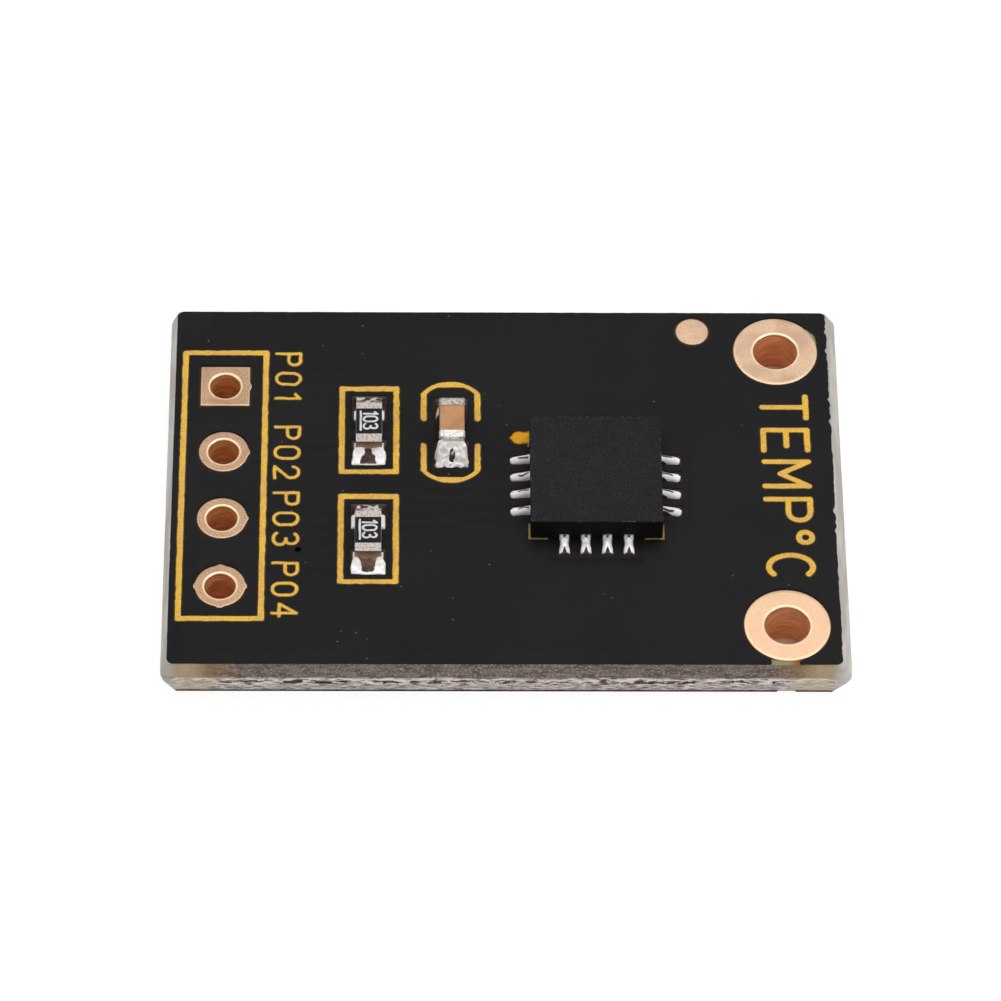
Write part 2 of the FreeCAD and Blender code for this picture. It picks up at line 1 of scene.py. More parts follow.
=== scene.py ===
# A four-wire temperature sensor module on a pale floor: the finish of every piece, the relief of
# the solder mask, the snapped board edge, the solder joints and the print.
import itertools
import json
import math

import bpy
import numpy as np
from mathutils import Matrix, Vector
from mathutils.geometry import delaunay_2d_cdt

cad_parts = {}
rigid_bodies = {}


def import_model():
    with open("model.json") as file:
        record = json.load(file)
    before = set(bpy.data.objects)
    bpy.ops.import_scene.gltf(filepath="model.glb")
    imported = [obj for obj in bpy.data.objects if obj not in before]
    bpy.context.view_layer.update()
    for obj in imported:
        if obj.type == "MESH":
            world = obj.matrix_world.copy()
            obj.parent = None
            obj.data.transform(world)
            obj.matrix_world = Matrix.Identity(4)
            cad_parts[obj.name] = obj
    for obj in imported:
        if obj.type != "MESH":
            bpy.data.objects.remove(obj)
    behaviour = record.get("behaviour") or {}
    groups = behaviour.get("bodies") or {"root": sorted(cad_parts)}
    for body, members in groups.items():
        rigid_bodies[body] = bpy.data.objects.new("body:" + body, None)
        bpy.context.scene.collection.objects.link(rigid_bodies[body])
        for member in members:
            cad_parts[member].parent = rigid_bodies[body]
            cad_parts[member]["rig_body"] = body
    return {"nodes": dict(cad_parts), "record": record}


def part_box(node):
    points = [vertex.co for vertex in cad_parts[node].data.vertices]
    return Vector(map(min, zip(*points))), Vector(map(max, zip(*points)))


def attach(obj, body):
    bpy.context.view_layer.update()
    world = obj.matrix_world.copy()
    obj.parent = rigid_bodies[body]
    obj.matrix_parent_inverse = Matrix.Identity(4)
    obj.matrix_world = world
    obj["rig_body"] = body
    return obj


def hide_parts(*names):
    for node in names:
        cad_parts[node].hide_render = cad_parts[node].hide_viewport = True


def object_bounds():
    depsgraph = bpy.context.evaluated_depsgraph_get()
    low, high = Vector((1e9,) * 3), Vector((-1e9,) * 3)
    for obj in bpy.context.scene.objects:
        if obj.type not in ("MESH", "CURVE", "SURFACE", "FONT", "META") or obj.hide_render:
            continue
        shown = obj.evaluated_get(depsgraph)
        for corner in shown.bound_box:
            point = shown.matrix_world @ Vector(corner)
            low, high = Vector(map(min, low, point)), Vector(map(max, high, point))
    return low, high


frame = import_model()
cadLow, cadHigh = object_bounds()
nodes = frame["nodes"]
mounts = {mount["name"]: mount for mount in frame["record"]["mounts"]}
mm = 0.001
print("frame loaded:", len(nodes), "nodes")


# Places and levels read from the frame

def low(name):
    return np.array(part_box(name)[0])


def high(name):
    return np.array(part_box(name)[1])


def middle(name):
    return (low(name) + high(name)) / 2


maskTop = high("front_solder_mask")[2]
laminateTop = high("laminate_core")[2]
copperTop = high("alignment_dot")[2]
copperHeight = copperTop - laminateTop
inkHeight = high("legend_header_frame")[2] - maskTop
halfLength, halfWidth = (float(value) for value in high("front_solder_mask")[:2])
eyelets = ("mounting_eyelet_rear", "mounting_eyelet_front")
headerHoles = [np.array(mounts[f"header_hole_{k}"]["pos_m"][:2]) for k in (1, 2, 3, 4)]
headerRadius = mounts["header_hole_1"]["dims"]["r_mm"] * mm
mountRadius = mounts["mounting_holes"]["dims"]["hole_r_mm"] * mm
copperNodes = [name for name in nodes if name.startswith("copper_")]
copperNodes += [*eyelets, "alignment_dot", "sensor_unused_lands"]


# Shapes as whole arrays

def latticeNoise(points, size, seed):
    # random values on a lattice of that cell size, blended by 3t^2 - 2t^3 between its corners; -1 to 1
    scaled = points / size
    base = np.floor(scaled).astype(np.int64)
    share = scaled - base
    share = share * share * (3 - 2 * share)
    steps = np.array([374761393, 668265263, 2147483647][: points.shape[-1]])
    total = np.zeros(points.shape[:-1])
    for corner in itertools.product((0, 1), repeat=points.shape[-1]):
        mixed = ((base + corner) * steps).sum(-1) + seed * 1274126177
        mixed = (mixed ^ (mixed >> 13)) * 1103515245 & 0x7FFFFFFF
        value = ((mixed ^ (mixed >> 15)) & 0xFFFF) / 32767.5 - 1
        total += value * np.where(corner, share, 1 - share).prod(-1)
    return total


def smoothStep(value, start, end):
    share = np.clip((value - start) / (end - start), 0, 1)
    return share * share * (3 - 2 * share)


def readMesh(obj):
    points = np.empty(len(obj.data.vertices) * 3)
    obj.data.vertices.foreach_get("co", points)
    obj.data.calc_loop_triangles()
    corners = np.empty(len(obj.data.loop_triangles) * 3, np.int64)
    obj.data.loop_triangles.foreach_get("vertices", corners)
    return points.reshape(-1, 3), corners.reshape(-1, 3)


def outlineAt(obj, level):
    # segments round the flat faces at a level: the edges that only one of their triangles has
    grain = 1e-7  # metres within which two places are one
    points, corners = readMesh(obj)
    flat = corners[(np.abs(points[corners][:, :, 2] - level) < 20 * grain).all(1)]
    spots, index = np.unique(np.round(points[:, :2] / grain).astype(np.int64), axis=0, return_inverse=True)
    flat = index.reshape(-1)[flat]
    edges = np.sort(np.concatenate([flat[:, [0, 1]], flat[:, [1, 2]], flat[:, [2, 0]]]), axis=1)
    pairs, counts = np.unique(edges, axis=0, return_counts=True)
    return spots[pairs[counts == 1]] * grain


def signedDistance(points, segments):
    # distance to the nearest segment; inside, where a ray along +X crosses an odd number, it is positive
    start, along = segments[:, 0], segments[:, 1] - segments[:, 0]
    square = (along ** 2).sum(1)
    rise = np.where(along[:, 1] == 0, 1, along[:, 1])
    result = np.empty(len(points))
    chunk = 4000  # points worked out at a time
    for first in range(0, len(points), chunk):
        spot = points[first:first + chunk, None, :]
        share = np.clip(((spot - start) * along).sum(2) / square, 0, 1)
        near = np.sqrt(((start + share[..., None] * along - spot) ** 2).sum(2).min(1))
        crossed = (start[:, 1] > spot[..., 1]) != (segments[:, 1, 1] > spot[..., 1])
        reach = start[:, 0] + (spot[..., 1] - start[:, 1]) * along[:, 0] / rise
        odd = (crossed & (reach > spot[..., 0])).sum(1) % 2
        result[first:first + chunk] = np.where(odd == 1, near, -near)
    return result


def strokeDistance(points, strokes):
    # distance to the nearest of the strokes' segments
    segments = np.concatenate([np.stack([line[:-1], line[1:]], 1) for line in strokes])
    return np.abs(signedDistance(points, segments))


def snappedSheet(corner, opposite, cell, field):
    # a square grid; points near the field's zero line move onto it, p - f grad f / |grad f|^2, and triangles
    # outside that line are dropped
    snapCells, leastSteep = 0.6, 0.3
    xs = np.linspace(corner[0], opposite[0], int(round((opposite[0] - corner[0]) / cell)) + 1)
    ys = np.linspace(corner[1], opposite[1], int(round((opposite[1] - corner[1]) / cell)) + 1)
    spots = np.stack(np.meshgrid(xs, ys, indexing="ij"), -1)
    value = field(spots.reshape(-1, 2)).reshape(spots.shape[:2])
    slope = np.stack(np.gradient(value, xs, ys), -1)
    steep = np.maximum((slope ** 2).sum(-1), leastSteep)
    near = np.abs(value) < snapCells * cell
    spots = spots - np.where(near, value / steep, 0)[..., None] * slope
    value = np.where(near, 0, value)
    index = np.arange(value.size).reshape(value.shape)
    a, b, c, d = index[:-1, :-1], index[1:, :-1], index[1:, 1:], index[:-1, 1:]
    flip = (value[:-1, :-1] * value[1:, 1:] < 0)[..., None]
    first = np.where(flip, np.stack([a, b, d], -1), np.stack([a, b, c], -1)).reshape(-1, 3)
    second = np.where(flip, np.stack([b, c, d], -1), np.stack([a, c, d], -1)).reshape(-1, 3)
    faces = np.concatenate([first, second])
    corners = value.reshape(-1)[faces]
    faces = faces[corners.min(1) >= 0]
    spots = spots.reshape(-1, 2)
    unsure = value.reshape(-1)[faces].max(1) <= 0
    inside = np.ones(len(faces), bool)
    if unsure.any():
        inside[unsure] = field(spots[faces[unsure]].mean(1)) > 0
    faces = faces[inside]
    used, faces = np.unique(faces, return_inverse=True)
    return spots[used], faces.reshape(-1, 3)


def closedSheet(spots, faces, top, bottom):
    # the sheet's top and bottom, joined by a wall along each edge that only one triangle has
    count = len(spots)
    edges = np.concatenate([faces[:, [0, 1]], faces[:, [1, 2]], faces[:, [2, 0]]])
    ahead = edges[:, 0] * count + edges[:, 1]
    back = edges[:, 1] * count + edges[:, 0]
    rim = edges[~np.isin(ahead, back)]
    wall = np.stack([rim[:, 1], rim[:, 0], rim[:, 0] + count, rim[:, 1] + count], 1)
    points = np.concatenate([np.column_stack([spots, top]), np.column_stack([spots, bottom])])
    return points, faces.tolist() + (faces[:, ::-1] + count).tolist() + wall.tolist()


def gridFaces(rows, columns, closedRows=False, closedColumns=False):
    # quads of a rows by columns grid of points, wrapped round where it is closed
    index = np.arange(rows * columns).reshape(rows, columns)
    if closedRows:
        index = np.concatenate([index, index[:1]])
    if closedColumns:
        index = np.concatenate([index, index[:, :1]], axis=1)
    corners = [index[:-1, :-1], index[1:, :-1], index[1:, 1:], index[:-1, 1:]]
    return np.stack(corners, -1).reshape(-1, 4)


def wholeTurn(sides):
    return np.arange(sides) * 2 * math.pi / sides


def makePiece(name, points, faces, material, replaced=(), smoothAngle=38):
    mesh = bpy.data.meshes.new(name)
    mesh.from_pydata(np.asarray(points).tolist(), [], faces if isinstance(faces, list) else faces.tolist())
    mesh.validate()
    mesh.polygons.foreach_set("use_smooth", np.ones(len(mesh.polygons), bool))
    mesh.set_sharp_from_angle(angle=math.radians(smoothAngle))
    mesh.materials.append(material)
    piece = bpy.data.objects.new(name, mesh)
    bpy.context.scene.collection.objects.link(piece)
    body = nodes[replaced[0] if replaced else "laminate_core"]["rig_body"]
    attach(piece, body)
    if replaced:
        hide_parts(*replaced)
    return piece


def addNumbers(piece, name, values):
    attribute = piece.data.attributes.new(name, "FLOAT", "POINT")
    attribute.data.foreach_set("value", np.asarray(values, np.float32).ravel())


# Shader nodes

def linear(red, green, blue):
    # a screen colour of 0 to 255 as the linear colour that a shader takes
    screen = np.array([red, green, blue]) / 255
    light = np.where(screen <= 0.04045, screen / 12.92, ((screen + 0.055) / 1.055) ** 2.4)
    return (*light.tolist(), 1.0)


def fill(node, inputs):
    # each input gets a link from another node's socket, or a constant
    for key, value in inputs.items():
        if isinstance(value, bpy.types.NodeSocket):
            node.id_data.links.new(value, node.inputs[key])
        else:
            node.inputs[key].default_value = value


def addNode(tree, kind, inputs=None, **settings):
    made = tree.nodes.new(kind)
    for key, value in settings.items():
        setattr(made, key, value)
    fill(made, inputs or {})
    return made


def fedNode(kind, inputs, **settings):
    # a node in the tree of the sockets that feed it
    trees = [value.id_data for value in inputs.values() if isinstance(value, bpy.types.NodeSocket)]
    return addNode(trees[0], kind, inputs, **settings)


def maths(operation, first, second=0.0):
    return fedNode("ShaderNodeMath", {0: first, 1: second}, operation=operation).outputs[0]


def times(first, second):
    return maths("MULTIPLY", first, second)


def minus(first, second):
    return maths("SUBTRACT", first, second)


def absolute(value):
    return maths("ABSOLUTE", value)


def mapped(value, start, end, low=0.0, high=1.0):
    inputs = {"Value": value, "From Min": start, "From Max": end, "To Min": low, "To Max": high}
    return fedNode("ShaderNodeMapRange", inputs, interpolation_type="SMOOTHSTEP").outputs[0]


def mixed(share, first, second):
    return fedNode("ShaderNodeMix", {0: share, 6: first, 7: second}, data_type="RGBA").outputs[2]


def painted(body, colour, value, start, end, low=0.0, high=1.0):
    # the colour over the body, from the low to the high share where the value goes from start to end
    return mixed(mapped(value, start, end, low, high), body, colour)


def objectCoordinates(tree):
    return addNode(tree, "ShaderNodeTexCoord").outputs["Object"]


def axes(vector):
    return fedNode("ShaderNodeSeparateXYZ", {"Vector": vector}).outputs


def stretched(vector, x, y, z):
    return fedNode("ShaderNodeMapping", {"Vector": vector, "Scale": (x, y, z)}).outputs[0]


def noise(vector, scale, detail=3.0, roughness=0.5):
    inputs = {"Vector": vector, "Scale": scale, "Detail": detail, "Roughness": roughness}
    return fedNode("ShaderNodeTexNoise", inputs).outputs[0]


def attribute(tree, name):
    return addNode(tree, "ShaderNodeAttribute", attribute_name=name).outputs["Fac"]


def newGroup(name, inputs, outputs):
    # inputs: each one's first value; outputs: each one's kind
    group = bpy.data.node_groups.new(name, "ShaderNodeTree")
    for label, value in inputs.items():
        socket = group.interface.new_socket(label, in_out="INPUT", socket_type="NodeSocketFloat")
        socket.default_value = value
    for label, kind in outputs.items():
        group.interface.new_socket(label, in_out="OUTPUT", socket_type=f"NodeSocket{kind}")
    return group, addNode(group, "NodeGroupInput").outputs, addNode(group, "NodeGroupOutput")


def useGroup(tree, group, **inputs):
    return addNode(tree, "ShaderNodeGroup", inputs, node_tree=group).outputs


def makeGrainGroup():
    # fine noise: its value, and a normal pushed by it to a depth in metres
    outputs = {"Value": "Float", "Normal": "Vector"}
    group, given, result = newGroup("fineGrain", {"Size": 4000.0, "Depth": 2e-6}, outputs)
    fine = noise(objectCoordinates(group), given["Size"], 4.0, 0.6)
    bump = fedNode("ShaderNodeBump", {"Height": fine, "Distance": given["Depth"], "Strength": 1.0})
    fill(result, {"Value": fine, "Normal": bump.outputs[0]})
    return group


def makeBlotchGroup():
    # soft patches: noise of one size, sharpened between two levels
    inputs = {"Size": 500.0, "Low": 0.4, "High": 0.6}
    group, given, result = newGroup("blotches", inputs, {"Mask": "Float"})
    patches = noise(objectCoordinates(group), given["Size"])
    fill(result, {"Mask": mapped(patches, given["Low"], given["High"])})
    return group


def makeDustGroup():
    # sparse round specks: the cells whose random value is high keep a spot at their middle
    group, given, result = newGroup("dustSpecks", {"Size": 2500.0, "Share": 0.03}, {"Mask": "Float"})
    inputs = {"Vector": objectCoordinates(group), "Scale": given["Size"]}
    cells = fedNode("ShaderNodeTexVoronoi", inputs).outputs
    pick = fedNode("ShaderNodeSeparateColor", {"Color": cells["Color"]}).outputs[0]
    chosen = maths("GREATER_THAN", pick, minus(1.0, given["Share"]))
    fill(result, {"Mask": times(chosen, mapped(cells["Distance"], 0.30, 0.18))})
    return group


grainGroup = makeGrainGroup()
blotchGroup = makeBlotchGroup()
dustGroup = makeDustGroup()


def blotches(tree, size, low=0.35, high=0.65):
    return useGroup(tree, blotchGroup, Size=size, Low=low, High=high)["Mask"]


def grained(tree, size, depth=3e-6):
    return useGroup(tree, grainGroup, Size=size, Depth=depth)


def newMaterial(name, constants):
    material = bpy.data.materials.new(name)
    material.use_nodes = True
    shader = material.node_tree.nodes["Principled BSDF"]
    fill(shader, constants)
    return material, material.node_tree, shader


# Finishes of one kind: mask, tin, ceramic, overcoat and white print

plainLook = {
    "metal": 0.0, "gloss": 0.4, "blotchSize": 1800.0, "blotchEdges": (0.35, 0.65), "grainSize": 6000.0,
    "grainDepth": 3e-6, "grainEdges": (0.3, 0.7), "dust": linear(96, 96, 102), "dustSize": 9000.0,
    "dustShare": 0.0,
}


def plainMaterial(name, light, dark, roughness, **changes):
    # two tones in blotches, a fine grain in roughness and normal, and specks of dust if it has a share
    look = {**plainLook, **changes}
    constants = {"Metallic": look["metal"], "Specular IOR Level": look["gloss"]}
    material, tree, shader = newMaterial(name, constants)
    body = mixed(blotches(tree, look["blotchSize"], *look["blotchEdges"]), dark, light)
    if look["dustShare"]:
        specks = useGroup(tree, dustGroup, Size=look["dustSize"], Share=look["dustShare"])["Mask"]
        body = mixed(specks, body, look["dust"])
    grain = grained(tree, look["grainSize"], look["grainDepth"])
    rough = mapped(grain["Value"], *look["grainEdges"], *roughness)
    fill(shader, {"Base Color": body, "Roughness": rough, "Normal": grain["Normal"]})
    return material


maskLook = {
    "light": linear(26, 25, 27), "dark": linear(18, 18, 19), "roughness": (0.42, 0.56), "gloss": 0.09,
    "blotchSize": 260.0, "blotchEdges": (0.3, 0.75), "dustShare": 0.004, "grainSize": 5200.0,
    "grainDepth": 2.5e-6, "grainEdges": (0.2, 0.8),
}
tinLook = {"metal": 1.0, "gloss": 0.5, "blotchSize": 3800.0, "blotchEdges": (0.38, 0.62), "grainDepth": 5e-6}
frontMask = plainMaterial("frontMask", **maskLook)
backMask = plainMaterial("backMask", **{**maskLook, "dustShare": 0.002})
leadTin = plainMaterial("leadTin", linear(214, 208, 206), linear(160, 150, 146), (0.36, 0.52), **tinLook)
whiteCeramic, blackOvercoat, tanCeramic, coatedLands, whitePrint = (
    plainMaterial(name, linear(*light), linear(*dark), roughness, gloss=gloss)
    for name, light, dark, roughness, gloss in (
        ("whiteCeramic", (226, 224, 222), (205, 202, 200), (0.45, 0.6), 0.4),
        ("blackOvercoat", (30, 27, 27), (18, 16, 16), (0.4, 0.55), 0.12),
        ("tanCeramic", (205, 152, 108), (188, 134, 92), (0.5, 0.62), 0.3),
        ("coatedLands", (58, 40, 28), (34, 24, 18), (0.5, 0.7), 0.1),
        ("whitePrint", (240, 240, 238), (214, 213, 212), (0.5, 0.6), 0.3),
    )
)


def platedMaterial(name, look):
    # plated copper with a fine fleck; duller and redder down its bore; its rolled rims and outer edge painted
    # lighter, a painted highlight
    material, tree, shader = newMaterial(name, {"Metallic": 1.0})
    blotch = blotches(tree, look["blotchSize"], 0.3, 0.7)
    grain = grained(tree, look["grainSize"], look["grainDepth"])
    body = mixed(blotch, look["dark"], look["light"])
    body = mixed(mapped(grain["Value"], 0.36, 0.56), look["fleck"], body)
    # painted highlight: the rolled lip and the outer edge take the lighter rim colour
    body = mixed(attribute(tree, "rim"), body, look["rim"])
    turned = noise(stretched(objectCoordinates(tree), *look["turnStretch"]), look["turnSize"])
    wall = mixed(mapped(turned, 0.35, 0.65), look["boreDark"], look["bore"])
    bore = attribute(tree, "bore")
    fill(shader, {
        "Base Color": mixed(bore, body, wall),
        "Metallic": mapped(bore, 0.0, 1.0, 1.0, look["boreMetal"]),
        "Roughness": mapped(blotch, 0.0, 1.0, *look["roughness"]), "Normal": grain["Normal"],
    })
    return material


padLook = {
    "dark": linear(150, 122, 98), "light": linear(174, 144, 117), "fleck": linear(126, 97, 74),
    "rim": linear(216, 186, 158), "bore": linear(238, 176, 116), "boreDark": linear(204, 136, 80),
    "roughness": (0.30, 0.42), "boreMetal": 0.35, "blotchSize": 1600.0, "grainSize": 24000.0,
    "grainDepth": 1.2e-6, "turnStretch": (0.2, 0.2, 1.5), "turnSize": 9000.0,
}
# painted light: each mounting ring's copper is given lighter colours than the header pads', the front ring
# the lightest, for the light it catches
ringPaintedLightColours = {
    "rear": {"dark": linear(174, 146, 122), "light": linear(194, 166, 140), "fleck": linear(164, 134, 110),
             "rim": linear(222, 194, 164), "bore": linear(246, 184, 132), "boreDark": linear(216, 150, 100)},
    "front": {"dark": linear(188, 156, 128), "light": linear(201, 168, 140), "fleck": linear(180, 146, 118),
              "rim": linear(220, 188, 156), "bore": linear(246, 190, 138), "boreDark": linear(216, 156, 106)},
}
headerPlating = platedMaterial("headerPlating", padLook)
ringPlating = {}
for side, colours in ringPaintedLightColours.items():
    ringPlating[side] = platedMaterial(f"{side}RingPlating", {**padLook, **colours})


def inkMaterial(name, thick, thin, rim, rimShare):
    # ink that is strong where it lies thick and weaker in patches, and darker in speckles and at its rim
    material, tree, shader = newMaterial(name, {"Roughness": 0.62, "Specular IOR Level": 0.2})
    body = mixed(blotches(tree, 1500.0), thick, thin)
    body = painted(body, rim, noise(objectCoordinates(tree), 16000.0, 2.0), 0.55, 0.35, 0.0, 0.22)
    body = painted(body, rim, attribute(tree, "edge"), 0.12, 0.5, 0.0, rimShare)
    fill(shader, {"Base Color": body, "Normal": grained(tree, 7000.0)["Normal"]})
    return material


legendInk = inkMaterial("legendInk", linear(252, 200, 80), linear(240, 190, 92), linear(40, 22, 4), 0.95)
dotInk = inkMaterial("dotInk", linear(255, 178, 10), linear(253, 186, 34), linear(140, 84, 10), 0.8)
thinInk = inkMaterial("thinInk", linear(206, 172, 98), linear(176, 144, 84), linear(90, 66, 34), 0.7)
legendInks = {"legend_pin_one_dot": dotInk, "legend_sensor_corners": thinInk}

solderLook = {
    "bright": linear(252, 250, 248), "dull": linear(246, 242, 240), "brown": linear(112, 76, 60),
    "soot": linear(36, 24, 23), "metal": 0.12, "cleanRough": (0.22, 0.40), "fluxRough": (0.2, 0.6),
}


def solderMaterial():
    # bright metal; a value from 0 to 1, flux stain together with painted shade and painted dark reflections,
    # takes it through brown to near black
    look = solderLook
    material, tree, shader = newMaterial("brightSolder", {"Specular IOR Level": 0.4})
    blotch = blotches(tree, 4200.0, 0.42, 0.62)
    flux = attribute(tree, "flux")
    body = mixed(blotch, look["bright"], look["dull"])
    # the brown and the near black stand for flux stains and also for painted shade and painted dark
    # reflections
    body = painted(body, look["brown"], flux, 0.08, 0.35)
    body = painted(body, look["soot"], flux, 0.35, 0.70)
    clean = mapped(blotch, 0.0, 1.0, *look["cleanRough"])
    stained = mapped(flux, 0.05, 0.4, *look["fluxRough"])
    fill(shader, {
        "Base Color": body, "Metallic": mapped(flux, 0.05, 0.4, look["metal"], 0.0),
        "Roughness": maths("MAXIMUM", clean, stained), "Normal": grained(tree, 6000.0)["Normal"],
    })
    return material


brightSolder = solderMaterial()


def terminalMaterial(node, look):
    # a tinned cap: fine mottle, a sooty strip along its far edge, its end face stained from the top down
    material, tree, shader = newMaterial(node.replace("_", "") + "Tin", {"Metallic": 1.0})
    end = 1 if node.endswith("rear") else -1
    tip = float((high(node) if end > 0 else low(node))[1])
    top = float(high(node)[2])
    y, z = axes(objectCoordinates(tree))[1:]
    grain = grained(tree, look["grainSize"])
    body = mixed(mapped(grain["Value"], 0.36, 0.6), look["dark"], look["light"])
    reach = end * look["strip"]
    strip = mapped(y, tip - reach, tip - 0.3 * reach, 0.0, look["stripStrength"])
    body = mixed(times(strip, blotches(tree, 7000.0, 0.4, 0.6)), body, look["soot"])
    face = mapped(y, tip - end * 0.012 * mm, tip - end * 0.002 * mm)
    stain = painted(look["faceLow"], look["faceHigh"], z, top - 0.42 * mm, top - 0.02 * mm)
    fill(shader, {
        "Base Color": mixed(face, body, stain),
        "Metallic": mapped(face, 0.0, 1.0, 1.0, look["faceMetal"]),
        "Roughness": mapped(grain["Value"], 0.3, 0.7, 0.36, 0.52), "Normal": grain["Normal"],
    })
    return material


resistorCap = {
    "light": linear(176, 167, 162), "dark": linear(128, 120, 115), "soot": linear(58, 48, 44),
    "faceLow": linear(184, 156, 132), "faceHigh": linear(112, 84, 64), "faceMetal": 0.0,
    "strip": 0.17 * mm, "stripStrength": 0.0, "grainSize": 15000.0,
}
capacitorCap = {
    "light": linear(214, 208, 202), "dark": linear(170, 162, 156), "soot": linear(78, 66, 62),
    "faceLow": linear(252, 250, 246), "faceHigh": linear(226, 222, 216), "faceMetal": 0.1,
    "strip": 0.12 * mm, "stripStrength": 0.7, "grainSize": 13000.0,
}
mouldingLook = {
    "light": linear(41, 41, 44), "dark": linear(14, 14, 16), "side": linear(4, 4, 5),
    "speck": linear(150, 150, 154), "grainSize": 18000.0, "grainDepth": 6e-6, "chipSize": 5200.0,
}


def mouldingMaterial():
    # matt grey-black on top; its sides painted near black by their slope, painted shade; lighter specks in
    # spots along its edges
    look = mouldingLook
    material, tree, shader = newMaterial("blackMoulding", {"Specular IOR Level": 0.14})
    grain = grained(tree, look["grainSize"], look["grainDepth"])
    facing = axes(addNode(tree, "ShaderNodeTexCoord").outputs["Normal"])[2]
    body = mixed(mapped(grain["Value"], 0.40, 0.60), look["dark"], look["light"])
    body = mixed(times(blotches(tree, 1800.0), 0.3), body, look["dark"])
    # painted shade: where the normal leans away from up, the colour turns near black
    body = mixed(mapped(facing, 0.3, 0.8), look["side"], body)
    edge = times(mapped(facing, 0.35, 0.6), mapped(facing, 0.98, 0.8))
    # lighter specks in spots on the edges
    body = mixed(times(edge, blotches(tree, look["chipSize"], 0.57, 0.62)), body, look["speck"])
    rough = mapped(grain["Value"], 0.3, 0.7, 0.6, 0.75)
    fill(shader, {"Base Color": body, "Roughness": rough, "Normal": grain["Normal"]})
    return material


blackMoulding = mouldingMaterial()
print("materials made")


# The laminate: front face, scored slope, rough snapped web, back score and holes

boardLook = {
    "webThickness": 0.20 * mm, "webDepth": 0.495 * mm, "cornerRadii": (0.10 * mm, 0.30 * mm, 0.14 * mm),
    "cornerSteps": 7, "spacing": 0.06 * mm, "levels": (7, 9, 14), "webRough": 0.07 * mm,
    "roughSizes": (0.42 * mm, 0.16 * mm), "scoreRough": 0.014 * mm, "gritSize": 0.09 * mm,
    "crackSize": 0.5 * mm, "crackDepth": 0.08 * mm, "sideShare": 0.12, "footDrop": 0.025 * mm,
    "footStep": 0.01 * mm, "holeSides": 48, "clearance": 0.05 * mm, "viaRadius": 0.175 * mm,
    "viaPlaces": ((-6.429 * mm, 3.83 * mm), (-6.229 * mm, -2.49 * mm)), "webSoft": (0.03 * mm, 0.05 * mm),
    "ledgeSoft": 0.10 * mm, "topSoft": 0.08 * mm, "cornerReach": 0.35 * mm,
}


def roundedLoop(halfX, halfY, radius):
    # points anticlockwise round a rectangle whose corners are arcs; the same number at every level
    turn = np.linspace(0, math.pi / 2, boardLook["cornerSteps"] + 2)[1:-1]
    centres = np.array([(1, -1), (1, 1), (-1, 1), (-1, -1)]) * (halfX - radius, halfY - radius)
    outward = np.array([(1, 0), (0, 1), (-1, 0), (0, -1)])
    pieces = []
    for quarter in range(4):
        angle = turn + (quarter - 1) * math.pi / 2
        pieces.append(centres[quarter] + radius * np.stack([np.cos(angle), np.sin(angle)], 1))
        start, stop = (centres[k % 4] + radius * outward[quarter] for k in (quarter, quarter + 1))
        count = int(round(2 * cadHigh[1 - quarter % 2] / boardLook["spacing"]))
        pieces.append(start + (stop - start) * np.linspace(0, 1, count)[:, None])
    return np.concatenate(pieces)


def boardLevels():
    # rows from the front edge down: height, reach out of the front outline, share of the overhang, radius
    top, bottom = laminateTop, low("laminate_core")[2]
    lean = -low("laminate_core")[0] - halfLength
    backReach = -low("back_solder_mask")[0] - halfLength
    webTop = top - boardLook["webDepth"]
    webLow = webTop - boardLook["webThickness"]
    front, web, back = boardLook["cornerRadii"]
    knots = np.array([
        (top, 0, 0, front), (webTop, lean, 1, web), (webLow, lean, 1, web), (bottom, backReach, 0, back),
        (bottom - boardLook["footDrop"], backReach - boardLook["footStep"], 0, back),
    ])
    steps = np.cumsum((0, *boardLook["levels"], 1))
    rows = np.arange(steps[-1] + 1)
    return np.stack([np.interp(rows, steps, knots[:, k]) for k in range(4)], 1), webTop, webLow


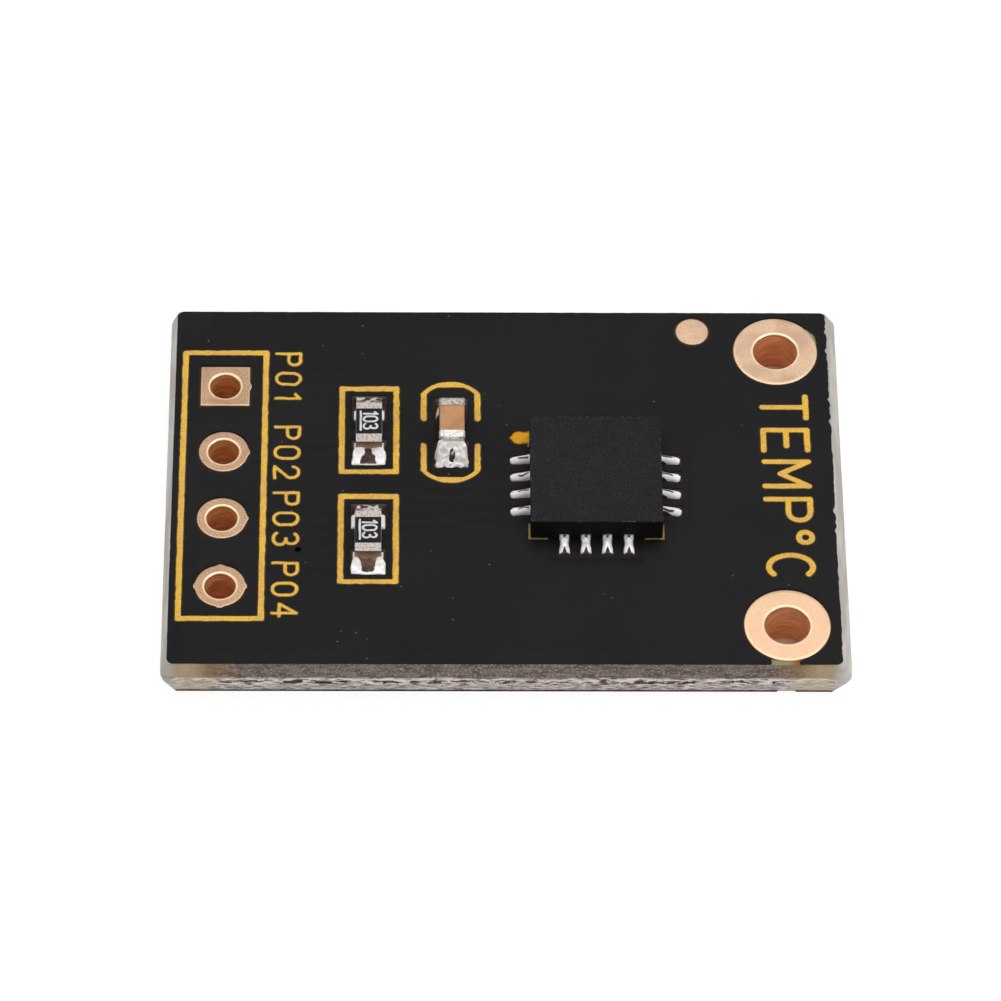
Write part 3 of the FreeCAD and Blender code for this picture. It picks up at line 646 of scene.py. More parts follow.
def makeBoard():
    # loop(level) of a rounded rectangle, pushed in by noise that is strong on the web and weak on the scores;
    # the snapped right-hand end reaches further: x' = x + overhang (1 + x / half) / 2
    look = boardLook
    levels, webTop, webLow = boardLevels()
    overhang = high("laminate_core")[0] + low("laminate_core")[0]
    loops = np.stack([roundedLoop(halfLength + row[1], halfWidth + row[1], row[3]) for row in levels])
    stretch = (1 + loops[..., 0] / (halfLength + levels[:, 1, None])) / 2
    loops[..., 0] += overhang * levels[:, 2, None] * stretch
    rows, count = loops.shape[:2]
    heights = np.repeat(levels[:, 0], count).reshape(rows, count)
    solid = np.concatenate([loops, heights[..., None]], -1)
    web = 1 - smoothStep(heights, webTop - look["webSoft"][0], webTop + look["webSoft"][1])
    ledge = web * smoothStep(heights, webLow - look["ledgeSoft"], webLow)
    long = solid * [1.0, 1.0, 4.0]
    coarse, fine = (latticeNoise(long, size, 3 + k) for k, size in enumerate(look["roughSizes"]))
    rough = np.clip(0.5 + 0.5 * coarse + 0.35 * fine, 0, 1.3)
    grit = 0.5 + 0.5 * latticeNoise(solid, look["gritSize"], 5)
    inward = ledge * look["webRough"] * rough + look["scoreRough"] * grit * (1 - 0.3 * ledge)
    inward = inward * smoothStep(laminateTop - heights, 0, look["topSoft"])
    crack = smoothStep(latticeNoise(solid * [1, 1, 9.0], look["crackSize"], 8), 0.30, 0.62) * ledge
    past = np.abs(loops) - np.array([halfLength, halfWidth]) + look["cornerReach"]
    centre = np.sign(loops) * np.maximum(past, 0)
    normal = centre / np.linalg.norm(centre, axis=-1, keepdims=True)
    share = look["sideShare"] + (1 - look["sideShare"]) * normal[..., 1] ** 2
    solid[..., :2] -= normal * ((inward + look["crackDepth"] * crack) * share)[..., None]
    points = [solid.reshape(-1, 3)]
    faces = gridFaces(rows, count, closedColumns=True)[:, ::-1].tolist()
    drills = [(place, headerRadius + look["clearance"]) for place in headerHoles]
    drills += [(middle(name)[:2], mountRadius + look["clearance"]) for name in eyelets]
    drills += [(np.array(place), look["viaRadius"]) for place in look["viaPlaces"]]
    sides = look["holeSides"]
    turn = wholeTurn(sides)
    total = rows * count
    rims = []
    for place, radius in drills:
        ring = place + radius * np.stack([np.cos(turn), np.sin(turn)], 1)
        points += [np.column_stack([ring, np.full(sides, z)]) for z in levels[[0, -1], 0]]
        faces += (gridFaces(2, sides, closedColumns=True) + total).tolist()
        rims.append(total)
        total += 2 * sides
    points = np.concatenate(points)
    for level, outer, shift in ((0, 0, 0), (-1, (rows - 1) * count, sides)):
        loopsHere = [np.arange(count) + outer] + [np.arange(sides) + start + shift for start in rims]
        faces += capFaces(points, loopsHere, upward=level == 0)
    board = makePiece("board_laminate", points, faces, laminate, ["laminate_core"], 50)
    for name, values in (("crack", crack), ("web", web)):
        addNumbers(board, name, np.concatenate([values.reshape(-1), np.zeros(len(points) - values.size)]))
    return board


def capFaces(points, loops, upward):
    # the flat face inside the first loop and outside the others, as triangles
    order = np.concatenate(loops)
    edges = []
    start = 0
    for loop in loops:
        index = np.arange(len(loop)) + start
        edges += np.stack([index, np.roll(index, -1)], 1).tolist()
        start += len(loop)
    spots = [tuple(spot / mm) for spot in points[order][:, :2]]
    flat, _, triangles, original, _, _ = delaunay_2d_cdt(spots, edges, [], 1, 1e-7)
    source = np.array([sources[0] for sources in original])
    triangles = np.array(triangles)
    middles = points[order[source[triangles]]][:, :, :2].mean(1)
    rims = [np.stack([points[loop][:, :2], np.roll(points[loop][:, :2], -1, axis=0)], 1) for loop in loops]
    keep = signedDistance(middles, np.concatenate(rims)) > 0
    faces = order[source[triangles[keep]]]
    a, b, c = (points[faces[:, k]][:, :2] for k in range(3))
    turned = (b[:, 0] - a[:, 0]) * (c[:, 1] - a[:, 1]) - (b[:, 1] - a[:, 1]) * (c[:, 0] - a[:, 0])
    wrong = (turned > 0) != upward
    faces[wrong] = faces[wrong][:, ::-1]
    return faces.tolist()


laminateLook = {
    "side": linear(212, 208, 202), "sideDark": linear(190, 184, 178), "slope": linear(134, 120, 112),
    "slopeDark": linear(92, 80, 74), "fleck": linear(182, 168, 164), "rust": linear(156, 116, 72),
    "olive": linear(196, 178, 138), "fibre": linear(255, 246, 240), "thread": linear(106, 90, 84),
    "gap": linear(66, 54, 50), "pale": linear(228, 210, 184), "foot": linear(120, 106, 100),
    "trench": linear(58, 42, 30), "worn": linear(154, 142, 108), "wornEnd": linear(150, 96, 48),
    "endShift": 0.9 * mm, "endReach": 0.45 * mm, "gapDrop": 0.20 * mm, "gapHeight": 0.10 * mm,
    "gapWander": 0.28 * mm, "crestDrop": 0.05 * mm, "stripShift": -0.10 * mm, "spotReach": 1.10 * mm,
    "spotAngle": 28,
}


def laminateMaterial():
    # glass and resin by place: speckled scores, torn fibres, pale sides, and painted shade on the floors in
    # the mask's windows
    look = laminateLook
    material, tree, shader = newMaterial("laminate", {"Roughness": 0.72, "Specular IOR Level": 0.25})
    place = objectCoordinates(tree)
    x, y, z = axes(place)
    fromMiddle = absolute(x)

    def field(stretch, scale, detail):
        return noise(stretched(place, *stretch), scale, detail, 0.65)

    speckle = field((0.6, 0.6, 1.0), 22000.0, 3.0)
    streaks = field((0.35, 0.35, 1.6), 6000.0, 4.0)
    patches = field((0.35, 0.35, 1.6), 900.0, 2.0)
    threads = field((0.35, 0.35, 2.0), 8000.0, 4.0)
    drift = field((1.0, 1.0, 0.0), 1400.0, 3.0)
    dash = field((1.0, 1.0, 0.4), 1700.0, 4.0)

    # the score: grey resin with flecks, rusty and then olive towards its ends
    reach = maths("ADD", fromMiddle, times(patches, look["endShift"]))
    half = halfLength + look["endReach"]
    ends = mapped(reach, half - 1.9 * mm, half - 1.1 * mm)
    slope = painted(look["slopeDark"], look["slope"], streaks, 0.38, 0.62)
    slope = painted(slope, look["rust"], reach, half - 2.3 * mm, half - 1.5 * mm, 0.0, 0.6)
    slope = painted(slope, look["olive"], reach, half - 1.5 * mm, half - 0.6 * mm, 0.0, 0.8)
    fleck = times(mapped(speckle, 0.50, 0.68, 0.0, 0.9), mapped(ends, 0.0, 1.0, 1.0, 0.35))
    slope = mixed(fleck, slope, look["fleck"])
    slope = painted(slope, look["slopeDark"], speckle, 0.30, 0.46, 0.45, 0.0)

    # the snapped web: pale torn fibres, a broken dark gap along them, a painted highlight along its crest,
    # and painted shade darkening it towards the bottom
    webTop = laminateTop - boardLook["webDepth"]
    fibre = painted(look["fibre"], look["thread"], threads, 0.43, 0.57)
    fibre = painted(fibre, look["gap"], speckle, 0.56, 0.70, 0.0, 0.6)
    fibre = painted(fibre, look["pale"], ends, 0.0, 1.0, 0.0, 0.6)
    level = minus(z, times(minus(drift, 0.5), look["gapWander"]))
    off = absolute(minus(level, webTop - look["gapDrop"]))
    thick = mapped(dash, 0.44, 0.60, 0.0, look["gapHeight"])
    thick = times(thick, mapped(ends, 0.2, 0.8, 1.0, 0.1))
    fibre = painted(fibre, look["gap"], minus(thick, off), 0.0, 0.045 * mm)
    # painted highlight: a bright line of clean fibre colour along the crest
    crestHighlight = absolute(minus(level, webTop - look["crestDrop"]))
    fibre = painted(fibre, look["fibre"], crestHighlight, 0.05 * mm, 0.01 * mm, 0.0, 0.8)
    # painted shade: darker towards the bottom
    fibre = painted(fibre, look["foot"], z, 0.16 * mm, 0.06 * mm, 0.0, 0.85)
    body = mixed(attribute(tree, "web"), slope, fibre)

    # the cut ends, the cracks, and the front face in the mask's windows, darkened there as painted shade of
    # the narrow trenches
    side = painted(look["side"], look["sideDark"], patches, 0.4, 0.6)
    body = painted(body, side, fromMiddle, halfLength - 0.34 * mm, halfLength - 0.06 * mm)
    body = painted(body, look["gap"], attribute(tree, "crack"), 0.3, 1.0, 0.0, 0.25)
    flat = mapped(z, laminateTop - 0.03 * mm, laminateTop - 0.005 * mm)
    insideX = mapped(fromMiddle, halfLength - 0.06 * mm, halfLength - 0.14 * mm)
    insideY = mapped(absolute(y), halfWidth - 0.06 * mm, halfWidth - 0.14 * mm)
    body = mixed(times(times(insideX, insideY), flat), body, look["trench"])

    # worn strips beside the mounting rings
    frontX, frontY = (float(value) for value in middle("mounting_eyelet_front")[:2])
    stripX = frontX + look["stripShift"]
    stain = painted(look["worn"], look["wornEnd"], x, stripX + 0.05 * mm, stripX + 0.38 * mm)
    nearStrip = mapped(absolute(minus(x, stripX)), 0.62 * mm, 0.50 * mm)
    nearStrip = times(nearStrip, mapped(y, frontY - 1.2 * mm, frontY - 1.3 * mm))
    body = mixed(times(nearStrip, flat), body, stain)
    rearX, rearY = (float(value) for value in middle("mounting_eyelet_rear")[:2])
    turn = math.radians(look["spotAngle"])
    reach = look["spotReach"]
    spot = (rearX + reach * math.cos(turn), rearY + reach * math.sin(turn), laminateTop)
    away = fedNode("ShaderNodeVectorMath", {0: place, 1: spot}, operation="DISTANCE").outputs["Value"]
    body = mixed(times(mapped(away, 0.42 * mm, 0.34 * mm), flat), body, look["worn"])
    bump = fedNode("ShaderNodeBump", {"Height": streaks, "Distance": 1.2e-5, "Strength": 1.0})
    fill(shader, {"Base Color": body, "Normal": bump.outputs[0]})
    return material


laminate = laminateMaterial()
makeBoard()
print("board made")


# The relief of the front mask over the copper

maskRelief = {
    "cell": 0.085 * mm, "swell": 0.075 * mm, "thickness": 0.02 * mm, "raggedRight": 0.055 * mm,
    "raggedLeft": 0.012 * mm, "raggedFront": 0.01 * mm, "spread": 0.05 * mm, "spreadFrom": -6.9 * mm,
    "spreadTo": 5.2 * mm, "reliefShare": 0.55, "sagSize": 0.9 * mm, "sag": 0.0012 * mm, "drop": 0.0015 * mm,
    "swellInside": 0.02 * mm, "chipSize": 0.22 * mm, "crumbSize": 0.09 * mm, "slowSize": 1.4 * mm,
}
copperOutlines = np.concatenate([outlineAt(nodes[name], copperTop) for name in copperNodes])
maskOutline = outlineAt(nodes["front_solder_mask"], maskTop)


def relief(spots):
    # the mask's top: full height over copper, and a smooth fall to the laminate's level within the swell
    look = maskRelief
    rise = smoothStep(signedDistance(spots, copperOutlines), -look["swell"], look["swellInside"])
    sag = latticeNoise(spots, look["sagSize"], 21) * look["sag"]
    return maskTop - copperHeight * look["reliefShare"] * (1 - rise) - look["drop"] + sag


def maskField(spots):
    # inside the mask's outline, drawn back raggedly along the board's edges and run in round the small lands
    look = maskRelief
    gap = np.array([halfLength, halfWidth]) - np.abs(spots)
    chip = 0.5 + 0.5 * latticeNoise(spots, look["chipSize"], 31)
    chip = chip + 0.4 * latticeNoise(spots, look["crumbSize"], 32)
    slow = 0.5 + 0.5 * latticeNoise(spots, look["slowSize"], 33)
    ragged = np.where(spots[:, 0] > 0, look["raggedRight"], look["raggedLeft"])
    side = gap[:, 0] - ragged * np.clip(chip * (0.4 + slow), 0, 1.4)
    front = gap[:, 1] - look["raggedFront"] * np.clip(chip, 0, 1.2)
    near = (spots[:, 0] > look["spreadFrom"]) & (spots[:, 0] < look["spreadTo"])
    inner = signedDistance(spots, maskOutline) + np.where(near, look["spread"], 0)
    return np.minimum(np.minimum(inner, side), front)


def makeMask():
    corner, opposite = low("front_solder_mask")[:2], high("front_solder_mask")[:2]
    spots, faces = snappedSheet(corner, opposite, maskRelief["cell"], maskField)
    top = relief(spots)
    points, faces = closedSheet(spots, faces, top, top - maskRelief["thickness"])
    return makePiece("front_mask", points, faces, frontMask, ["front_solder_mask"])


makeMask()
print("mask made")


# Print: ink with a rounded edge that lies on the relief

inkLook = {"cell": 0.034 * mm, "wobble": 0.009 * mm, "wobbleSize": 0.16 * mm, "round": 0.035 * mm,
           "fringe": 0.02 * mm, "edge": 0.05 * mm, "margin": 0.16 * mm, "seat": 0.001 * mm, "lowShare": 0.35}


def wobbled(spots, seed):
    shift = np.stack([latticeNoise(spots, inkLook["wobbleSize"], seed + k) for k in (0, 1)], 1)
    return spots + shift * inkLook["wobble"]


def inkPiece(name, field, corner, opposite, replaced=(), material=None, ground=relief,
             height=None, cell=None):
    height = height or inkHeight
    fringe = 0 if material in (whitePrint, thinInk) else inkLook["fringe"]

    def grown(spots):
        return field(spots) + fringe

    spots, faces = snappedSheet(corner, opposite, cell or inkLook["cell"], grown)
    inside = np.clip(grown(spots), 0, None)
    base = ground(spots)
    rise = smoothStep(inside, 0, inkLook["round"])
    top = base + height * (inkLook["lowShare"] + (1 - inkLook["lowShare"]) * rise)
    points, faces = closedSheet(spots, faces, top, base - inkLook["seat"])
    piece = makePiece(name, points, faces, material or legendInk, replaced)
    edge = 1 - smoothStep(inside, 0, inkLook["edge"])
    addNumbers(piece, "edge", np.concatenate([edge, np.ones(len(spots))]))
    return piece


dotLook = {"tip": 0.29 * mm, "tipTaper": 1.1, "tipShare": 0.6, "tipHalf": 0.2 * mm, "neck": 0.36 * mm,
           "neckHalf": 0.13 * mm}


def pointedDot(spots, inside):
    # the dot drawn out to a tip on its left, and on its right to the corner mark beside it
    across, along = (spots - middle("legend_pin_one_dot")[:2]).T
    tip = dotLook["tip"] + np.minimum(across, 0.1 * mm) - dotLook["tipTaper"] * np.abs(along)
    tip = dotLook["tipShare"] * np.minimum(tip, dotLook["tipHalf"] - np.abs(along))
    neck = np.minimum(np.minimum(across, dotLook["neck"] - across), dotLook["neckHalf"] - np.abs(along))
    return np.maximum(np.maximum(inside, tip), neck)


def makeLegend():
    margin = inkLook["margin"]
    for seed, name in enumerate(sorted(n for n in nodes if n.startswith("legend_"))):
        segments = outlineAt(nodes[name], maskTop + inkHeight)

        def field(spots, segments=segments, seed=seed, name=name):
            inside = signedDistance(wobbled(spots, 40 + 3 * seed), segments)
            return pointedDot(spots, inside) if name == "legend_pin_one_dot" else inside

        corner, opposite = low(name)[:2] - margin, high(name)[:2] + margin
        material = legendInks.get(name, legendInk)
        inkPiece(name.replace("legend", "print"), field, corner, opposite, [name], material)


makeLegend()
print("legend made")


# Lettering: strokes of a plain drafting alphabet, in units of the letter height

def arc(x, y, radiusX, radiusY, start, end, steps=0):
    # from the start to the end angle in degrees, in steps of about 15 unless their number is given
    turn = np.radians(np.linspace(start, end, steps or max(3, int(abs(end - start) / 15) + 1)))
    return np.stack([x + radiusX * np.cos(turn), y + radiusY * np.sin(turn)], 1)


def line(*corners):
    return np.array(corners, float)


letterWidths = {
    "T": 0.62, "E": 0.56, "M": 0.72, "P": 0.58, "C": 0.58, "o": 0.30,
    "0": 0.6, "1": 0.34, "2": 0.6, "3": 0.6, "4": 0.6,
}
letters = {
    "T": [line((0, 1), (0.62, 1)), line((0.31, 1), (0.31, 0))],
    "E": [line((0.58, 1), (0, 1), (0, 0), (0.58, 0)), line((0, 0.52), (0.46, 0.52))],
    "M": [line((0, 0), (0, 1), (0.35, 0.36), (0.7, 1), (0.7, 0))],
    "P": [line((0, 0), (0, 1), (0.36, 1)), arc(0.36, 0.75, 0.24, 0.25, 90, -90), line((0.36, 0.5), (0, 0.5))],
    "C": [arc(0.33, 0.5, 0.33, 0.5, 52, 308)],
    "o": [arc(0.15, 0.86, 0.15, 0.15, 0, 360)],
    "0": [arc(0.3, 0.68, 0.3, 0.32, 0, 180), line((0, 0.68), (0, 0.32)), arc(0.3, 0.32, 0.3, 0.32, 180, 360),
          line((0.6, 0.32), (0.6, 0.68))],
    "1": [line((0.08, 0.8), (0.3, 1), (0.3, 0))],
    "2": [arc(0.3, 0.7, 0.29, 0.3, 165, -30), line((0.55, 0.55), (0, 0), (0.6, 0))],
    "3": [arc(0.28, 0.75, 0.27, 0.25, 150, -90), arc(0.28, 0.26, 0.31, 0.26, 90, -150)],
    "4": [line((0.46, 0), (0.46, 1), (0, 0.3), (0.62, 0.3))],
}


def textStrokes(text, start, height, gap, narrow=1.0):
    # letters read towards -Y with their heads towards +X: (x, y) = start + height * (v, -u)
    strokes = []
    u = 0.0
    for letter in text:
        for stroke in letters[letter]:
            across = u + narrow * stroke[:, 0]
            strokes.append(np.stack([start[0] + height * stroke[:, 1], start[1] - height * across], 1))
        u += narrow * letterWidths[letter] + gap
    return strokes


def strokeField(strokes, width, seed):
    def field(spots):
        return width / 2 - strokeDistance(wobbled(spots, seed), strokes)
    return field


def strokeBox(strokes, width):
    spots = np.concatenate(strokes)
    return spots.min(0) - width, spots.max(0) + width


def makeText(name, text, start, height, width, seed, gap):
    strokes = textStrokes(text, start, height, gap)
    corner, opposite = strokeBox(strokes, width)
    return inkPiece(name, strokeField(strokes, width, seed), corner, opposite)


lettering = {}
for count, start in enumerate((5.02, 2.16, -0.37, -3.02)):
    lettering[f"print_pin_{count + 1}"] = {
        "text": f"P0{count + 1}", "start": (-6.98 * mm, start * mm), "height": 0.74 * mm, "width": 0.125 * mm,
        "seed": 60 + count, "gap": 0.44,
    }
lettering["print_side"] = {
    "text": "TEMPoC", "start": (7.98 * mm, 3.38 * mm), "height": 1.34 * mm, "width": 0.20 * mm,
    "seed": 70, "gap": 0.35,
}
for name, look in lettering.items():
    makeText(name, **look)
print("lettering made")


# Plating: a smooth skin over each bare pad, with a rolled lip and a drilled bore

platingLook = {
    "skin": 0.005 * mm, "round": 0.03 * mm, "sides": 128, "wallRows": 40, "ringDepth": 0.004 * mm,
    "ringSize": 0.5 * mm, "nub": 0.07 * mm, "nubWidth": 0.13, "dotSides": 64, "dotCentre": 0.004 * mm,
}


def eyeProfile(outer, bore, lip, bottom):
    # radius and height down one side: rounded outer edge, flat, round lip, bore wall and back lip; then the
    # way back up, hidden in the laminate
    skin, edge = platingLook["skin"], platingLook["round"]
    top = copperTop + skin
    flat = np.linspace(outer - edge, bore + lip + 0.02 * mm, 8)[1:]
    wall = np.linspace(top - lip, bottom + edge, platingLook["wallRows"])
    return np.concatenate([
        [[outer + skin, laminateTop + 0.004 * mm]],
        arc(outer + skin - edge, top - edge, edge, edge, 0, 90, 5),
        np.column_stack([flat, np.full(len(flat), top)]),
        arc(bore - skin + lip, top - lip, lip, lip, 90, 180, 8),
        np.column_stack([np.full(len(wall), bore - skin), wall]),
        arc(bore - skin + edge, bottom + edge, edge, edge, 180, 270, 5)[1:],
        [[outer, bottom], [outer - 0.01 * mm, bottom + 0.03 * mm], [bore + 0.03 * mm, bottom + 0.04 * mm],
         [bore + 0.03 * mm, laminateTop - 0.05 * mm], [outer - 0.01 * mm, laminateTop + 0.002 * mm]],
    ])


def makeEye(name, place, outer, bore, lip, material, square=False, nubs=(), replaced=(), seed=0):
    # the profile turned round its axis; beyond the lip, a square pad's points reach out to its sides
    look = platingLook
    bottom = low(replaced[0])[2] if replaced else low("copper_clock")[2] - 0.003 * mm
    profile = eyeProfile(outer, bore, lip, bottom)
    sides = look["sides"]
    turn = wholeTurn(sides)
    reach = np.full(sides, outer)
    if square:
        reach = outer / np.maximum(np.abs(np.cos(turn)), np.abs(np.sin(turn)))
    for angle in nubs:
        away = (turn - math.radians(angle) + math.pi) % (2 * math.pi) - math.pi
        reach = reach + look["nub"] * np.exp(-(away / look["nubWidth"]) ** 2)
    share = np.clip((profile[:, 0] - bore - lip) / (outer - bore - lip), 0, 1.03)
    radius = profile[:, 0][:, None] + (reach - outer)[None, :] * share[:, None]
    height = np.repeat(profile[:, 1][:, None], sides, axis=1)
    inBore = smoothStep(copperTop - lip - height, 0, 0.05 * mm) * (profile[:, 0] < bore)[:, None]
    rings = np.stack([height * 7, turn[None, :] * 0.12 * mm + height * 0], -1)
    radius = radius - inBore * look["ringDepth"] * (1 + latticeNoise(rings, look["ringSize"], seed))
    points = np.stack([place[0] + radius * np.cos(turn), place[1] + radius * np.sin(turn), height], -1)
    faces = gridFaces(len(profile), sides, closedRows=True, closedColumns=True)[:, ::-1]
    piece = makePiece(name, points.reshape(-1, 3), faces, material, replaced, smoothAngle=45)
    out, up = profile.T
    onWall = smoothStep(copperTop - lip * 0.6 - up, 0, lip * 0.8) * (out < bore + lip * 0.3)
    onLip = (1 - smoothStep(np.abs(out - bore - lip * 0.55), lip * 0.4, lip * 0.9)) * (up > copperTop - lip)
    onEdge = smoothStep(out, outer - 1.3 * look["round"], outer) * (up > laminateTop)
    addNumbers(piece, "bore", np.repeat(onWall, sides))
    # rim: the lip and the outer edge, painted lighter as a highlight
    addNumbers(piece, "rim", np.repeat(np.maximum(onLip, 0.7 * onEdge) * (1 - onWall), sides))
    return piece


def holeLip(name, place, bore):
    # how wide the node's front rim is broken: its top face starts that far outside the bore
    spots = outlineAt(nodes[name], copperTop).reshape(-1, 2)
    away = np.linalg.norm(spots - place, axis=1)
    return away[away > bore * 0.9].min() - bore


padHalf = 0.762 * mm
padNubs = {
    "copper_supply": (0,), "copper_clock": (0,), "copper_data": (0,), "copper_ground": (0, 90, 180, 270),
}
for count, (net, place) in enumerate(zip(padNubs, headerHoles)):
    makeEye(f"pad_plating_{count + 1}", place, padHalf, headerRadius, holeLip(net, place, headerRadius),
            headerPlating, square=count == 0, nubs=padNubs[net], seed=80 + count)
for count, name in enumerate(eyelets):
    place = middle(name)[:2]
    ring = (high(name)[0] - low(name)[0]) / 2
    makeEye(name.replace("eyelet", "ring"), place, ring, mountRadius, holeLip(name, place, mountRadius),
            ringPlating[name.rsplit("_", 1)[-1]], replaced=[name], seed=90 + count)


def makeDot():
    # a low coin: rings from the middle out, then over a rounded edge and down
    name = "alignment_dot"
    place, half = middle(name), (high(name)[0] - low(name)[0]) / 2
    edge, centre, sides = platingLook["round"], platingLook["dotCentre"], platingLook["dotSides"]
    flat = np.linspace(centre, half - edge, 6)
    out, up = np.concatenate([
        np.column_stack([flat, np.full(len(flat), copperTop)]),
        arc(half - edge, copperTop - edge, edge, edge, 90, 0, 5),
        [[half, laminateTop], [centre, laminateTop]],
    ]).T
    turn = wholeTurn(sides)
    x, y = place[0] + out[:, None] * np.cos(turn), place[1] + out[:, None] * np.sin(turn)
    points = np.stack([x, y, np.repeat(up[:, None], sides, axis=1)], -1)
    faces = gridFaces(len(out), sides, closedRows=True, closedColumns=True)
    makePiece("dot_plating", points.reshape(-1, 3), faces, ringPlating["rear"], [name])


makeDot()
print("plating made")


# Solder at the ends of the chip parts

jointShape = {
    "cell": 0.022 * mm, "film": 0.012 * mm, "corner": 0.08 * mm, "rim": 0.035 * mm, "soft": 0.03 * mm,
    "lumpSize": 0.22 * mm, "roughSize": 0.15 * mm, "pimpleSize": 0.06 * mm, "mottleSize": 0.11 * mm,
}


def roundedBox(spots, corner, opposite, radius):
    # distance inside a rectangle whose corners are arcs; negative outside
    half = (opposite - corner) / 2
    away = np.abs(spots - (corner + opposite) / 2) - half + radius
    return radius - np.linalg.norm(np.maximum(away, 0), axis=1) - np.minimum(away.max(1), 0)


def jointFluxAndShade(spots, look, across, beside, beyond, halfX, onEnd, v, seed):
    # brown flux with painted dark reflections and painted shade: a wedge on the end slope, a painted dark
    # reflection; a flux spot there; the flanks, painted dark reflection, but for a bright sliver; a film at
    # the back, flux and painted shade
    mottle = latticeNoise(spots, jointShape["mottleSize"], seed + 9)
    ragged = latticeNoise(spots, jointShape["pimpleSize"], seed + 10)
    wedge = look["wedge"][0] + (look["wedge"][1] - look["wedge"][0]) * v + 0.12 * mottle
    middleReflection = smoothStep(wedge - np.abs(across - look["wedgeShift"]), -0.08, 0.08) * onEnd
    middleReflection = middleReflection * (1 - smoothStep(v, look["toeBand"], look["toeBand"] + 0.1))
    spotAcross, spotOut, spotSize = look["spot"]
    spotAway = np.hypot((across - spotAcross) * halfX, beyond - spotOut)
    spot = smoothStep(spotSize * (1 + 0.8 * ragged) - spotAway, -0.02 * mm, 0.02 * mm)
    stain = look["stain"] * (look["stainNear"] + (1 - look["stainNear"]) * np.clip(v, 0, 1))
    first, last = look["sliver"]
    soft = jointShape["soft"]
    sliver = smoothStep(-beyond, first - soft, first) * (1 - smoothStep(-beyond, last, last + soft))
    thin = np.where(across < 0, *look["sliverWidths"])
    sliver = sliver * (1 - smoothStep(beside, thin - soft / 2, thin + soft / 2))
    near = (1 - smoothStep(v, look["nearEnd"], look["nearEnd"] + 0.2)) * (beside < 0)
    endFilm = onEnd * (look["endFilm"] - look["endNear"] * near * smoothStep(0.25 + mottle, 0.0, 0.3))
    flank = (1 - onEnd) * (1 - sliver)
    flux = np.maximum(stain * np.maximum(middleReflection, spot), np.maximum(flank, endFilm))
    return np.clip(flux * (0.92 + 0.25 * mottle), 0, 1)


def makeChipJoint(name, node, body, look, seed):
    # z = film + (wall - film) (1 - d / reach)^hollow over the land; d is the distance from the cap's walls
    shape = jointShape
    end = 1 if node.endswith("rear") else -1
    landLow, landHigh = low(node)[:2], high(node)[:2]
    capLow, capHigh = low(body)[:2], high(body)[:2]
    centreX, halfX = (capLow[0] + capHigh[0]) / 2, (capHigh[0] - capLow[0]) / 2
    tipY = capHigh[1] if end > 0 else capLow[1]
    toeY = landHigh[1] if end > 0 else landLow[1]
    film = shape["film"]

    def field(spots):
        lobes = look["lobe"] * (0.5 + 0.5 * latticeNoise(spots, look["lobeSize"], seed + 3))
        return roundedBox(spots, landLow - look["spread"], landHigh + look["spread"], shape["corner"]) - lobes

    margin = look["spread"] + shape["soft"]
    spots, faces = snappedSheet(landLow - margin, landHigh + margin, shape["cell"], field)
    across = (spots[:, 0] - centreX) / halfX
    beside = np.abs(spots[:, 0] - centreX) - halfX
    beyond = (spots[:, 1] - tipY) * end
    away = np.hypot(np.maximum(beside, 0), np.maximum(beyond, 0))
    onEnd = smoothStep(np.arctan2(np.maximum(beyond, 0), np.maximum(beside, 1e-9)), 0.25, 1.15)
    onEnd = np.where((beside <= 0) & (beyond > 0), 1, onEnd)
    reach = look["sideReach"] + (abs(toeY - tipY) * look["toeReach"] - look["sideReach"]) * onEnd
    height = high(node)[2] - copperTop
    heel = np.sqrt(np.clip(1 - (np.maximum(-beyond, 0) / look["wrap"]) ** 2, 0, 1))
    lump = 1 + look["uneven"] * latticeNoise(spots, shape["lumpSize"], seed)
    dip = 1 - look["dip"] * np.exp(-(across / look["dipWidth"]) ** 2)
    wall = height * ((1 - onEnd) * look["sideHeight"] * heel + onEnd * look["endHeight"] * dip) * lump
    v = away / reach
    rise = (wall - film).clip(0) * np.clip(1 - v, 0, 1) ** look["hollow"]
    rough = 0.5 + 0.5 * latticeNoise(spots, shape["roughSize"], seed + 5)
    rough = rough + look["pimple"] * latticeNoise(spots, shape["pimpleSize"], seed + 6)
    bumps = look["lump"] * rough * np.sin(math.pi * np.clip(v, 0, 1)) ** 0.5 * onEnd
    under = (beside < -1.5 * shape["cell"]) & (beyond < -1.5 * shape["cell"])
    up = np.where(under, film, film + rise + bumps)
    up = up * (0.25 + 0.75 * np.sqrt(smoothStep(field(spots), 0, shape["rim"])))
    top = copperTop + np.minimum(up, max(1, look["endHeight"]) * height - 0.001 * mm)
    flux = jointFluxAndShade(spots, look, across, beside, beyond, halfX, onEnd, v, seed)
    points, faces = closedSheet(spots, faces, top, np.full(len(spots), copperTop))
    piece = makePiece(name, points, faces, brightSolder, [node], smoothAngle=60)
    addNumbers(piece, "flux", np.concatenate([flux, flux]))


